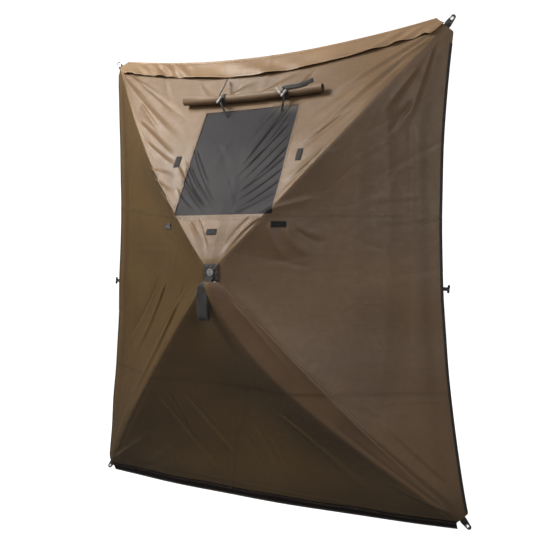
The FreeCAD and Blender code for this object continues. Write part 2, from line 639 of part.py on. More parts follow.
def build_pole(corner):
    """One pole with its fittings and the cloth that it carries."""
    side = -1 if corner.endswith("left") else 1
    end = "left" if side < 0 else "right"
    save(pole_rod(corner), "pole_rod_" + corner)
    save(pole_eye(corner), "pole_eye_" + corner)
    save(pole_cap(corner), "pole_cap_" + corner)
    save(corner_pocket(corner), "corner_pocket_" + corner)
    save(corner_eyelet(corner), "corner_eyelet_" + corner)
    save(gore(corner, "side"), "side_cloth_" + corner)
    save(binding(corner), "side_binding_" + corner)
    if corner.startswith("upper"):
        save(gore(corner, "top"), "top_cloth_" + end)
        save(header(side), "header_flap_" + end)
        save(window_film(side), "window_film_" + end)
        save(rolled_cover(side), "rolled_cover_" + end)
        save(cover_tie(side), "cover_tie_" + end)
        save(tie_toggle(side), "tie_toggle_" + end)
        save(pad(side * 242.0, 1243.0, PAD_SHORT, PAD_LONG), "upper_pad_" + end)
        save(pad(LOWER_PAD_PLACES[side], 1012.0, PAD_LONG, PAD_SHORT), "lower_pad_" + end)
    else:
        save(gore(corner, "bottom"), "bottom_cloth_" + end)
        save(skirt(side), "floor_skirt_" + end)
        save(side_toggle(side), "side_toggle_" + end)


def build_hub():
    """The hub and the pull strap."""
    save(hub_body(), "hub_body")
    save(hinge_pins(), "hinge_pins")
    save(hub_back_cap(), "hub_back_cap")
    save(cap_screws(), "cap_screws")
    save(hub_patch(), "hub_patch")
    save(hub_eye(), "hub_eye")
    save(strap_anchor(), "strap_anchor")
    save(pull_strap(), "pull_strap")
    save(strap_buckle(), "strap_buckle")


os.makedirs("parts", exist_ok=True)
build_hub()
for name in CORNERS:
    build_pole(name)
save(pad(-PAD_LONG / 2, 988.0, PAD_LONG - 2 * HALVES_GAP, PAD_SHORT), "lower_pad_centre")
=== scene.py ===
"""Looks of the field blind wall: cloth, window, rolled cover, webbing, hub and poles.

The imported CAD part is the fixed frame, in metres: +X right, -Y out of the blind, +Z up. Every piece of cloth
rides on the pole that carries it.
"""

import logging
import math
from collections.abc import Sequence
from dataclasses import dataclass, field
from enum import Enum

import bmesh
import bpy
import numpy as np
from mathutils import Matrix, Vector

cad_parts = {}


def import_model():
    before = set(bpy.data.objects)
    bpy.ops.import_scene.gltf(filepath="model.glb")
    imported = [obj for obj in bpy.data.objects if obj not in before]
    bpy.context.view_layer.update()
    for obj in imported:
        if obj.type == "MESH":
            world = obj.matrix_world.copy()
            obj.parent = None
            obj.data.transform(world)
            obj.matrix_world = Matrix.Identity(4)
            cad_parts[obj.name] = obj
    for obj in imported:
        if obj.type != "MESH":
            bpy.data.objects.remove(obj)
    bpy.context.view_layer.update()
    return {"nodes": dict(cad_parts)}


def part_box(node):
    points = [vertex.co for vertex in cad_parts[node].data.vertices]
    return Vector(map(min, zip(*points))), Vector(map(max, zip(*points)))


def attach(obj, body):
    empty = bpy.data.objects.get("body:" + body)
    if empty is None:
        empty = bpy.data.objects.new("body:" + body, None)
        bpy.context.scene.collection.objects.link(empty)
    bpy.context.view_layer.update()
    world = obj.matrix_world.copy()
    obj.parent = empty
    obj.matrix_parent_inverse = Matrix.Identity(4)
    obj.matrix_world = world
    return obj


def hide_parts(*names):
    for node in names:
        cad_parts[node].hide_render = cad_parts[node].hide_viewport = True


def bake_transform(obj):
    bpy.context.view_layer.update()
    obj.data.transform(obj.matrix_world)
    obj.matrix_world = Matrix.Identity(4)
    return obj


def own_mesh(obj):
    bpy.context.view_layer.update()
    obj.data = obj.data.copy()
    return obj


LOG = logging.getLogger("field_blind")
Array = np.ndarray
CLOTH = 0.0012                 # thickness of the coated cloth


class Facet(Enum):
    """The triangle of the wall that a cloth half belongs to."""

    TOP = "top"
    SIDE = "side"
    BOTTOM = "bottom"


class Corner(Enum):
    """The wall's corners: name, side (-1 left, 1 right) and level (1 upper, -1 lower)."""

    UPPER_LEFT = ("upper_left", -1, 1)
    UPPER_RIGHT = ("upper_right", 1, 1)
    LOWER_LEFT = ("lower_left", -1, -1)
    LOWER_RIGHT = ("lower_right", 1, -1)

    @property
    def label(self) -> str:
        """Name of the corner, as the CAD nodes have it."""
        return self.value[0]

    @property
    def side(self) -> int:
        """-1 on the left, 1 on the right."""
        return self.value[1]

    @property
    def level(self) -> int:
        """1 above the hub, -1 below it."""
        return self.value[2]

    @property
    def end(self) -> str:
        """Left or right, as the CAD nodes have it."""
        return "left" if self.side < 0 else "right"


# ---------------------------------------------------------------- shapes of the cloth


@dataclass(frozen=True)
class WallSize:
    """Sizes of the taut wall in metres."""

    corner_height: float = 1.700
    top_half: float = 0.6975
    bottom_half: float = 0.765
    hub_height: float = 0.855
    hub_reach: float = 0.395
    plane_y: float = 0.201
    top_sag: float = 0.068
    side_bow: float = 0.062
    peak_flat: float = 0.05
    crease_bow: float = 0.035
    crease_round: float = 0.014
    hem_flare: float = 0.060
    cloth_bottom: float = 0.012
    tab_length: float = 0.048

    @property
    def side_slope(self) -> float:
        """Lean of the straight line between a side's corners."""
        return (self.bottom_half - self.top_half) / self.corner_height

    @property
    def side_reach(self) -> float:
        """Half width of the wall at the hub's height, between the corners' straight lines."""
        return self.bottom_half - self.side_slope * self.hub_height

    def top_edge(self, x: Array) -> Array:
        """Height of the top edge: a parabola that sags between the upper corners."""
        return self.corner_height - self.top_sag * (1 - (x / self.top_half) ** 2)

    def side_edge(self, z: Array) -> Array:
        """Half width of the wall at height z: a parabola bowed inwards between the corners."""
        share = z / self.corner_height
        return self.bottom_half - self.side_slope * z - self.side_bow * 4 * share * (1 - share)

    def corner_place(self, corner: Corner) -> Array:
        """The wall's corner as (x, z)."""
        half = self.top_half if corner.level > 0 else self.bottom_half
        return np.array([corner.side * half, self.corner_height if corner.level > 0 else 0.0])

    def pole_line(self, corner: Corner) -> tuple[Array, float]:
        """Direction in (x, z) from the hub to a corner, and the distance."""
        run = self.corner_place(corner) - np.array([0.0, self.hub_height])
        length = float(np.hypot(*run))
        return run / length, length


@dataclass(frozen=True)
class Fold:
    """A fold drawn out along a line in the wall's plane.

    Attributes:
        start: (x, z) of its sharp, narrow end.
        end: (x, z) where it fades out.
        width: half width of the ridge at its end.
        height: how far the ridge stands out, or in where negative.
        bend: sideways bow of the line at its middle.
    """

    start: tuple[float, float]
    end: tuple[float, float]
    width: float
    height: float
    bend: float = 0.0

    def relief(self, x: Array, z: Array) -> Array:
        """Height of the fold: a crest that falls off exponentially, with a hollow on one side of it.

        Args:
            x: places across the wall.
            z: heights.

        Returns:
            How far each place is pushed outwards.
        """
        run = np.array(self.end) - np.array(self.start)
        length = math.hypot(*run)
        along = ((x - self.start[0]) * run[0] + (z - self.start[1]) * run[1]) / length ** 2
        across = ((z - self.start[1]) * run[0] - (x - self.start[0]) * run[1]) / length
        s = np.clip(along, 0.0, 1.0)
        across = across - self.bend * 4 * s * (1 - s)
        width = self.width * (0.4 + 0.6 * s)
        crest = np.exp(-(np.sqrt(across ** 2 + (0.35 * width) ** 2) - 0.35 * width) / width)
        hollow = np.exp(-((across - 1.7 * width) / (1.3 * width)) ** 2)
        fade = np.clip(np.minimum((along + 0.01) * 6.0, (1.0 - along) * 2.4), 0.0, 1.0)
        fade = fade * fade * (3 - 2 * fade)
        return self.height * fade * (1.0 - 0.35 * s) * (crest - 0.5 * hollow)


def hump(value: Array, centre: float, width: float) -> Array:
    """Bell curve of height 1 around a centre."""
    return np.exp(-(((value - centre) / width) ** 2))


def drawn_folds() -> list[Fold]:
    """The wall's clear folds: fans out of the corners, slack round the window and creases by the poles."""
    return [
        Fold((-0.655, 1.640), (-0.240, 1.300), 0.014, 0.0050),
        Fold((-0.640, 1.650), (-0.340, 1.440), 0.011, 0.0045, 0.006),
        Fold((-0.560, 1.600), (-0.230, 1.385), 0.011, -0.0040),
        Fold((-0.360, 1.225), (-0.225, 1.185), 0.010, 0.0035),
        Fold((0.660, 1.660), (0.270, 1.440), 0.013, 0.0060),
        Fold((0.650, 1.645), (0.225, 1.370), 0.013, -0.0055),
        Fold((0.645, 1.640), (0.200, 1.240), 0.016, 0.0065, -0.012),
        Fold((0.560, 1.560), (0.175, 1.215), 0.012, -0.0045, 0.010),
        Fold((0.010, 1.485), (0.175, 1.550), 0.010, 0.0050),
        Fold((-0.130, 1.485), (-0.010, 1.535), 0.009, 0.0045),
        Fold((0.160, 1.490), (0.235, 1.560), 0.009, -0.0045),
        Fold((0.170, 1.460), (0.005, 1.200), 0.008, 0.0030, 0.004),
        Fold((0.125, 1.450), (-0.010, 1.260), 0.007, 0.0018, -0.004),
        Fold((-0.240, 1.235), (-0.045, 1.040), 0.009, 0.0044, -0.010),
        Fold((-0.215, 1.260), (-0.020, 1.045), 0.008, -0.0034, -0.010),
        Fold((-0.185, 1.290), (-0.070, 1.120), 0.007, 0.0026),
        Fold((-0.125, 1.030), (-0.022, 0.890), 0.010, 0.0050, 0.006),
        Fold((-0.090, 1.035), (-0.012, 0.895), 0.008, -0.0038, 0.004),
        Fold((0.160, 1.040), (0.030, 0.890), 0.011, 0.0060, -0.016),
        Fold((0.120, 1.045), (0.018, 0.895), 0.008, -0.0045, -0.010),
        Fold((0.600, 1.530), (0.490, 1.360), 0.013, 0.0060),
        Fold((0.585, 1.420), (0.500, 1.290), 0.011, -0.0045),
        Fold((0.640, 1.600), (0.555, 1.300), 0.010, 0.0045),
        Fold((0.140, 1.045), (0.340, 1.105), 0.012, 0.0045, 0.004),
        Fold((0.180, 1.020), (0.225, 0.890), 0.016, 0.0042, -0.012),
        Fold((0.225, 1.010), (0.300, 0.900), 0.018, 0.0045, -0.016),
        Fold((0.250, 1.000), (0.340, 0.950), 0.014, -0.0035, -0.012),
        Fold((0.510, 1.460), (0.500, 0.320), 0.034, 0.0040, 0.006),
        Fold((0.570, 1.440), (0.575, 0.330), 0.026, -0.0038, 0.004),
        Fold((0.440, 1.300), (0.420, 0.420), 0.040, 0.0026, -0.010),
        Fold((-0.270, 0.830), (-0.540, 0.500), 0.013, 0.0060, 0.010),
        Fold((-0.150, 0.800), (-0.580, 0.290), 0.014, 0.0070, 0.016),
        Fold((-0.130, 0.820), (-0.430, 0.510), 0.011, -0.0050, 0.010),
        Fold((-0.330, 0.840), (-0.600, 0.560), 0.011, -0.0045, 0.012),
        Fold((0.730, 0.075), (0.350, 0.450), 0.018, 0.0085, -0.008),
        Fold((0.725, 0.050), (0.290, 0.440), 0.014, -0.0060, 0.008),
        Fold((0.700, 0.160), (0.470, 0.420), 0.014, 0.0055),
        Fold((0.715, 0.060), (0.480, 0.170), 0.012, 0.0055),
        Fold((-0.360, 0.400), (-0.130, 0.050), 0.014, 0.0060, -0.020),
        Fold((-0.300, 0.420), (-0.200, 0.080), 0.011, -0.0045, -0.012),
        Fold((-0.240, 0.400), (-0.040, 0.120), 0.013, 0.0055, -0.010),
        Fold((0.130, 0.380), (0.470, 0.060), 0.015, 0.0060, 0.014),
        Fold((0.030, 0.300), (0.110, 0.060), 0.012, 0.0050),
        Fold((-0.030, 0.300), (0.060, 0.070), 0.010, -0.0040),
        Fold((0.080, 0.270), (0.150, 0.070), 0.011, 0.0045),
        Fold((-0.700, 0.060), (-0.420, 0.230), 0.014, 0.0055),
        Fold((-0.690, 0.110), (-0.500, 0.360), 0.013, 0.0050),
        Fold((-0.560, 1.260), (-0.610, 0.560), 0.020, 0.0035),
        Fold((-0.470, 1.420), (-0.250, 1.250), 0.010, 0.0050),
        Fold((-0.400, 1.330), (-0.225, 1.215), 0.009, 0.0044, -0.004),
        Fold((-0.330, 1.190), (-0.215, 1.120), 0.009, 0.0042),
        Fold((-0.290, 1.140), (-0.205, 1.070), 0.008, 0.0036),
        Fold((-0.500, 1.500), (-0.330, 1.330), 0.012, -0.0050),
        Fold((0.430, 1.420), (0.230, 1.280), 0.009, 0.0040),
        Fold((0.330, 1.260), (0.200, 1.150), 0.009, 0.0040, 0.004),
        Fold((0.300, 1.220), (0.195, 1.110), 0.008, -0.0034),
        Fold((0.050, 0.780), (0.270, 0.490), 0.013, 0.0040, 0.006),
    ]


def film_folds() -> list[Fold]:
    """Parallel creases of the slack window.

    One row runs from the right post to the middle of the sill, and a shorter one from the left post.

    Returns:
        The folds.
    """
    made = []
    for k in range(9):
        step = k / 8
        start = (0.150 + 0.045 * min(2.2 * step, 1.0), 1.455 - 0.330 * step)
        end = (0.012 + 0.020 * math.sin(k * 2.1), 1.205 - 0.165 * step)
        width = 0.0065 + 0.0015 * math.sin(k * 1.7)
        height = 0.0026 + 0.0007 * math.cos(k * 2.9)
        made.append(Fold(start, end, width, height, 0.006))
    for k in range(5):
        step = k / 4
        start = (-0.200 - 0.015 * step, 1.300 - 0.150 * step)
        end = (-0.020 - 0.075 * step, 1.060 - 0.010 * step)
        made.append(Fold(start, end, 0.0070, 0.0026 - 0.0040 * (k % 2), -0.012))
    return made


def small_folds(size: WallSize, count: int, seed: int) -> list[Fold]:
    """Small seeded folds that lie roughly along the cloth's pull, out from the hub and along the poles.

    Args:
        size: sizes of the wall.
        count: number of folds.
        seed: seed of the random numbers.

    Returns:
        The folds.
    """
    rng = np.random.default_rng(seed)
    made = []
    for _ in range(count):
        x = rng.uniform(-0.62, 0.62)
        z = rng.uniform(0.06, 1.56)
        away = math.atan2(z - size.hub_height, x)
        turn = away + rng.normal(0.0, 0.45)
        length = rng.uniform(0.14, 0.42)
        run = (math.cos(turn) * length / 2, math.sin(turn) * length / 2)
        height = rng.uniform(0.0004, 0.0013) * rng.choice([-1.0, 1.0])
        width = rng.uniform(0.009, 0.020)
        bend = rng.normal(0.0, 0.008)
        made.append(Fold((x + run[0], z + run[1]), (x - run[0], z - run[1]), width, height, bend))
    return made


@dataclass
class ClothField:
    """The cloth's front surface as a height field: y over the wall's plane.

    It is a four-sided pyramid with its peak on the hub, rounded and bowed out along the creases over the poles,
    with hollow facets, slack, folds and a tent where the lower right pole pushes the bottom facet out.
    """

    size: WallSize = field(default_factory=WallSize)
    folds: list[Fold] = field(default_factory=list)
    crease_drift: dict[str, float] = field(default_factory=lambda: {"left": 0.022, "right": 0.010})
    tent_reach: float = 0.092
    tent_fall: float = 0.150
    tent_start: float = 0.64

    def __post_init__(self) -> None:
        """Draws the folds and picks the slack's waves."""
        self.folds = drawn_folds() + film_folds() + small_folds(self.size, 90, 41)
        rng = np.random.default_rng(12)
        self.waves = [
            (rng.uniform(0, 2 * math.pi), rng.uniform(0, 2 * math.pi), 2 * math.pi / rng.uniform(0.16, 0.55))
            for _ in range(9)
        ]

    def drift(self, x: Array, z: Array) -> tuple[Array, Array]:
        """Sideways shift of the upper creases: a half sine along the pole, a bell curve across it."""
        side = np.where(x < 0, -1.0, 1.0)
        direction, length = self.size.pole_line(Corner.UPPER_RIGHT)
        run_x, run_z = np.abs(x), z - self.size.hub_height
        along = (run_x * direction[0] + run_z * direction[1]) / length
        across = run_x * direction[1] - run_z * direction[0]
        amount = np.where(x < 0, self.crease_drift["left"], self.crease_drift["right"])
        t = np.clip(along, 0.0, 1.0)
        shift = amount * np.sin(math.pi * t ** 0.8) * np.exp(-((across / 0.12) ** 2))
        return side * shift * direction[1], -shift * direction[0]

    def undrifted(self, x: Array, z: Array) -> tuple[Array, Array]:
        """The place that drift() moves to (x, z), found by repeating the step back."""
        px, pz = x, z
        for _ in range(3):
            dx, dz = self.drift(px, pz)
            px, pz = x - dx, z - dz
        return px, pz

    def past_pole(self, x: Array, z: Array) -> tuple[Array, Array]:
        """Distance past the lower right pole towards the bottom facet, and the distance of the tent's crest.

        Args:
            x: places across the wall.
            z: heights.

        Returns:
            Both distances. The crest's is a skewed half sine along the pole.
        """
        direction, length = self.size.pole_line(Corner.LOWER_RIGHT)
        run_x, run_z = x, z - self.size.hub_height
        t = np.clip((run_x * direction[0] + run_z * direction[1]) / length / 0.93, 0.0, 1.0)
        reach = self.tent_reach * np.sin(math.pi * t ** self.tent_start)
        return run_x * direction[1] - run_z * direction[0], reach

    def before_crest(self, x: Array, z: Array) -> Array:
        """1 between the lower right pole and the tent's crest, fading to 0 over 30 mm past it, less at the hem."""
        beyond, reach = self.past_pole(x, z)
        near = np.clip((reach + 0.022 - beyond) / 0.030, 0.0, 1.0)
        return near * (0.45 + 0.55 * np.clip(reach / 0.03, 0, 1))

    def tent(self, x: Array, z: Array) -> Array:
        """Outward height of the tent beside the lower right pole.

        The side facet's plane carries on past the pole to a crest, and the bottom facet climbs to it in a long
        soft slope. The crest's distance from the pole is a skewed half sine along the pole.

        Args:
            x: places across the wall.
            z: heights.

        Returns:
            How far each place is pushed outwards.
        """
        beyond, reach = self.past_pole(x, z)
        climb = np.clip(beyond, 0.0, None)
        over = np.clip(beyond - reach, 0.0, None) / self.tent_fall
        soft = 0.008
        crest = 0.5 * (climb + reach - np.sqrt((climb - reach) ** 2 + soft ** 2) + soft * 0.9)
        return np.where(beyond > 0, 0.70 * np.clip(crest, 0.0, None) * np.exp(-(over ** 2) - 0.6 * over), 0.0)

    def smooth(self, x: Array, z: Array) -> Array:
        """The surface without its folds: pyramid, bowed creases, hem flare and hollow facets."""
        size = self.size
        x, z = self.undrifted(x, z)
        side = (np.abs(x) + size.side_slope * (z - size.hub_height)) / size.side_reach
        above = z >= size.hub_height
        rise = size.corner_height - size.hub_height
        upright = np.where(above, (z - size.hub_height) / rise, (size.hub_height - z) / size.hub_height)
        far = 0.5 * (side + upright + np.sqrt((side - upright) ** 2 + size.crease_round ** 2))
        far = 0.5 * (far + size.peak_flat + np.sqrt((far - size.peak_flat) ** 2 + 0.018 ** 2))
        share = (far - size.peak_flat) / (1 - size.peak_flat)
        nearness = np.clip(np.minimum(side, upright) / np.maximum(far, 1e-6), 0.0, 1.0)
        bow = size.crease_bow * 4 * share * (1 - share) * nearness ** 3
        level = np.clip(1 - (x / size.bottom_half) ** 2, 0.0, 1.0)
        flare = np.where(above, 0.0, size.hem_flare * level * np.clip(upright, 0.0, None) ** 3)
        middle = 1 - nearness
        in_top = above & (upright > side)
        hollow = np.where(in_top, 0.019 * hump(share, 0.72, 0.2) - 0.014 * hump(share, 0.17, 0.12), 0.0)
        hollow = np.where(in_top, hollow, 0.011 * hump(share, 0.62, 0.25))
        return size.plane_y - size.hub_reach * (1 - share) - bow - flare + hollow * middle

    def y(self, x: Array, z: Array) -> Array:
        """The whole surface: the smooth shape with the tent, slack and folds on it."""
        reach = np.hypot(x, z - self.size.hub_height)
        slack = sum(np.sin((x * math.cos(a) + z * math.sin(a)) * k + p) for a, p, k in self.waves)
        calm = np.clip((reach - 0.03) / 0.15, 0.0, 1.0)
        relief = sum(fold.relief(x, z) for fold in self.folds) + 0.0007 * slack
        swell = 0.006 * np.exp(-(((x - 0.220) / 0.060) ** 2) - ((z - 0.965) / 0.055) ** 2)
        return self.smooth(x, z) - self.tent(x, z) - calm * relief - swell

    def normal(self, x: Array, z: Array) -> Array:
        """Unit normals out of the front of the cloth, from the surface's slopes over 3 mm."""
        step = 0.0015
        slope_x = (self.y(x + step, z) - self.y(x - step, z)) / (2 * step)
        slope_z = (self.y(x, z + step) - self.y(x, z - step)) / (2 * step)
        normal = np.stack([slope_x, -np.ones_like(slope_x), slope_z], axis=-1)
        return normal / np.linalg.norm(normal, axis=-1, keepdims=True)

    def points(self, x: Array, z: Array) -> tuple[Array, Array]:
        """Front points of the cloth and their normals at places in the wall's plane."""
        return np.stack([x, self.y(x, z), z], axis=-1), self.normal(x, z)


# ---------------------------------------------------------------- meshes


@dataclass
class MeshData:
    """A mesh as arrays: corners, quads, and optionally normals, a UV pair and numbers on each corner."""

    verts: Array
    quads: Array
    normals: Array | None = None
    uv: Array | None = None
    numbers: dict[str, Array] = field(default_factory=dict)

    def joined(self, other: "MeshData") -> "MeshData":
        """This mesh and another in one."""
        uv = None
        if self.uv is not None and other.uv is not None:
            uv = np.concatenate([self.uv, other.uv])
        quads = np.concatenate([self.quads, other.quads + len(self.verts)])
        return MeshData(np.concatenate([self.verts, other.verts]), quads, None, uv)


def grid_quads(rows: int, cols: int, wrap: bool = False) -> Array:
    """Corner numbers of a grid's quads, the last column joined to the first where wrap is true."""
    across = cols if wrap else cols - 1
    i, j = np.meshgrid(np.arange(rows - 1), np.arange(across), indexing="ij")
    k = (j + 1) % cols
    return np.stack([i * cols + j, (i + 1) * cols + j, (i + 1) * cols + k, i * cols + k], -1).reshape(-1, 4)


def shell(points: Array, normals: Array, thickness: float, keep: Array | None = None,
          numbers: dict[str, Array] | None = None, uv: Array | None = None) -> MeshData:
    """Closed sheet: a front grid, the same grid moved in along the normals, and a rim round every open edge.

    Args:
        points: front points, rows by columns by 3.
        normals: outward unit normals of the same shape.
        thickness: distance between the layers.
        keep: for each grid quad, whether it is cloth; the rest are holes.
        numbers: named numbers on the grid's points.
        uv: UV pairs on the grid's points.

    Returns:
        The mesh.
    """
    rows, cols = points.shape[:2]
    count = rows * cols
    front = grid_quads(rows, cols)
    if keep is not None:
        front = front[keep.reshape(-1)]
    flat, out = points.reshape(-1, 3), normals.reshape(-1, 3)
    turn = np.cross(flat[front[:, 1]] - flat[front[:, 0]], flat[front[:, 3]] - flat[front[:, 0]])
    if np.sum(turn * out[front[:, 0]]) < 0:
        front = front[:, ::-1]
    edges = np.concatenate([front[:, [k, (k + 1) % 4]] for k in range(4)])
    keys = edges.min(1) * count + edges.max(1)
    _, first, times = np.unique(keys, return_index=True, return_counts=True)
    rim = edges[first[times == 1]]
    sides = np.stack([rim[:, 1], rim[:, 0], rim[:, 0] + count, rim[:, 1] + count], -1)
    quads = np.concatenate([front, front[:, ::-1] + count, sides])
    verts = np.concatenate([flat, flat - out * thickness])
    doubled = {name: np.tile(value.reshape(-1), 2) for name, value in (numbers or {}).items()}
    both = None if uv is None else np.tile(uv.reshape(-1, 2), (2, 1))
    return MeshData(verts, quads, np.concatenate([out, -out]), both, doubled)


def surface_normals(points: Array, towards: Array) -> Array:
    """Unit normals of a grid of points from its own slopes, turned to the side that towards points to."""
    down = np.gradient(points, axis=0)
    across = np.gradient(points, axis=1)
    normal = np.cross(down, across)
    normal = normal / np.maximum(np.linalg.norm(normal, axis=-1, keepdims=True), 1e-12)
    return normal * (1.0 if np.sum(normal * towards) > 0 else -1.0)


def smooth_path(points: Sequence[Sequence[float]], count: int) -> Array:
    """Evenly parted points of a Catmull-Rom curve through some points.

    Args:
        points: the points the curve goes through.
        count: how many points to give back.

    Returns:
        The points, count by 3.
    """
    knots = np.asarray(points, float)
    knots = np.concatenate([[2 * knots[0] - knots[1]], knots, [2 * knots[-1] - knots[-2]]])
    t = np.linspace(0, len(knots) - 3 - 1e-9, count * 4)
    k = t.astype(int)
    f = (t - k)[:, None]
    a, b, c, d = knots[k], knots[k + 1], knots[k + 2], knots[k + 3]
    curve = 0.5 * (2 * b + (c - a) * f + (2 * a - 5 * b + 4 * c - d) * f ** 2 + (3 * b - a - 3 * c + d) * f ** 3)
    run = np.concatenate([[0.0], np.cumsum(np.linalg.norm(np.diff(curve, axis=0), axis=1))])
    even = np.linspace(0, run[-1], count)
    return np.stack([np.interp(even, run, curve[:, i]) for i in range(3)], -1)


def tape(path: Array, across: Array, width: Array | float, thickness: float, sides: int = 16) -> MeshData:
    """Webbing along a path: a flat superellipse section carried along it, closed at both ends.

    Args:
        path: centre points, count by 3.
        across: direction of the width at each point, or one for all.
        width: width at each point, or one for all.
        thickness: thickness of the webbing.
        sides: points round the section.

    Returns:
        The mesh, with UV across and along in metres.
    """
    along = np.gradient(path, axis=0)
    along = along / np.linalg.norm(along, axis=1, keepdims=True)
    wide = np.broadcast_to(np.asarray(across, float), path.shape)
    wide = wide - along * np.sum(wide * along, axis=1, keepdims=True)
    wide = wide / np.linalg.norm(wide, axis=1, keepdims=True)
    out = np.cross(along, wide)
    turn = np.linspace(0, 2 * math.pi, sides, endpoint=False)
    c, s = np.cos(turn), np.sin(turn)
    flat_c, flat_s = np.sign(c) * np.abs(c) ** 0.35, np.sign(s) * np.abs(s) ** 0.5
    widths = np.broadcast_to(np.asarray(width, float), (len(path),)) / 2
    body = (path[:, None] + wide[:, None] * (widths[:, None] * flat_c)[..., None]
            + out[:, None] * (thickness / 2 * flat_s)[None, :, None])
    ends = [path[k, None] + wide[k, None] * (widths[k] * 0.97 * flat_c)[:, None] for k in (0, -1)]
    rings = np.concatenate([ends[0][None], body, ends[1][None]])
    quads = grid_quads(len(rings), sides, wrap=True)
    run = np.concatenate([[0.0], np.cumsum(np.linalg.norm(np.diff(path, axis=0), axis=1))])
    run = np.concatenate([[0.0], run, run[-1:]])
    uv = np.stack(np.broadcast_arrays(widths.mean() * flat_c[None, :], run[:, None]), -1)
    return MeshData(rings.reshape(-1, 3), quads, None, uv.reshape(-1, 2))


def lathe(profile: Sequence[tuple[float, float]], centre: Array, axis: Array, sides: int = 24) -> MeshData:
    """Turned shape: (radius, place along the axis) points spun round an axis through a centre."""
    axis = np.asarray(axis, float) / np.linalg.norm(axis)
    helper = np.array([0.0, 1.0, 0.0]) if abs(axis[1]) < 0.9 else np.array([1.0, 0.0, 0.0])
    first = np.cross(axis, helper)
    first = first / np.linalg.norm(first)
    second = np.cross(axis, first)
    turn = np.linspace(0, 2 * math.pi, sides, endpoint=False)
    ring = np.cos(turn)[:, None] * first + np.sin(turn)[:, None] * second
    spans = np.asarray(profile, float)
    verts = np.asarray(centre) + spans[:, 1, None, None] * axis + spans[:, 0, None, None] * ring[None]
    uv = np.stack(np.broadcast_arrays(turn[None, :] * spans[:, 0].max(), spans[:, 1, None]), -1)
    return MeshData(verts.reshape(-1, 3), grid_quads(len(spans), sides, wrap=True), None, uv.reshape(-1, 2))


def stitches(path: Array, normals: Array, pitch: float = 0.0048, length: float = 0.0034,
             width: float = 0.0009) -> MeshData:
    """A row of thread stitches: a small eight-sided lozenge every pitch along a path.

    Args:
        path: points on the cloth's surface.
        normals: the surface's normals there.
        pitch: distance between stitches.
        length: length of a stitch.
        width: width of the thread.

    Returns:
        The mesh.
    """
    run = np.concatenate([[0.0], np.cumsum(np.linalg.norm(np.diff(path, axis=0), axis=1))])
    count = max(int(run[-1] / pitch), 1)
    at = (np.arange(count) + 0.5) * run[-1] / count
    centre = np.stack([np.interp(at, run, path[:, i]) for i in range(3)], -1)
    out = np.stack([np.interp(at, run, normals[:, i]) for i in range(3)], -1)
    along = np.stack([np.interp(at + 1e-4, run, path[:, i]) - np.interp(at - 1e-4, run, path[:, i])
                      for i in range(3)], -1)
    along = along / np.maximum(np.linalg.norm(along, axis=1, keepdims=True), 1e-12)
    wide = np.cross(out, along)
    ring = [wide * width / 2, out * width * 0.6, -wide * width / 2, -out * width * 0.3]
    waist = [centre + r - along * length * 0.28 for r in ring] + [centre + r + along * length * 0.28 for r in ring]
    tips = [centre - along * length / 2 - out * width * 0.2, centre + along * length / 2 - out * width * 0.2]
    verts = np.stack(waist + tips, 1)
    faces = [(k, (k + 1) % 4, 4 + (k + 1) % 4, 4 + k) for k in range(4)]
    faces += [(8, (k + 1) % 4, k, k) for k in range(4)] + [(9, 4 + k, 4 + (k + 1) % 4, 4 + k) for k in range(4)]
    quads = (np.asarray(faces)[None] + (np.arange(count) * 10)[:, None, None]).reshape(-1, 4)
    uv = np.zeros((count * 10, 2))
    return MeshData(verts.reshape(-1, 3), quads, None, uv)


def make_object(name: str, data: MeshData, material: bpy.types.Material, merge: bool = True) -> bpy.types.Object:
    """Puts arrays into a mesh object at the origin.

    Args:
        name: name of the piece.
        data: its mesh.
        material: its finish.
        merge: whether corners that coincide become one and normals are made to point out.

    Returns:
        The object, linked to the scene.
    """
    mesh = bpy.data.meshes.new(name)
    quads = [tuple(dict.fromkeys(q)) for q in data.quads.tolist()]
    mesh.from_pydata(data.verts.tolist(), [], [q for q in quads if len(q) > 2])
    mesh.update()
    corner = np.empty(len(mesh.loops), np.int32)
    mesh.loops.foreach_get("vertex_index", corner)
    if data.uv is not None:
        layer = mesh.uv_layers.new(name="Cloth")
        layer.data.foreach_set("uv", data.uv[corner].astype(np.float32).reshape(-1))
    for title, values in data.numbers.items():
        attribute = mesh.attributes.new(title, "FLOAT", "POINT")
        attribute.data.foreach_set("value", values.astype(np.float32))
    mesh.polygons.foreach_set("use_smooth", np.ones(len(mesh.polygons), bool))
    if data.normals is not None:
        mesh.normals_split_custom_set_from_vertices(data.normals.tolist())
    elif merge:
        work = bmesh.new()
        work.from_mesh(mesh)
        bmesh.ops.remove_doubles(work, verts=work.verts, dist=1e-6)
        bmesh.ops.recalc_face_normals(work, faces=work.faces)
        work.to_mesh(mesh)
        work.free()
    mesh.materials.append(material)
    obj = bpy.data.objects.new(name, mesh)
    bpy.context.scene.collection.objects.link(obj)
    return obj


# ---------------------------------------------------------------- finishes


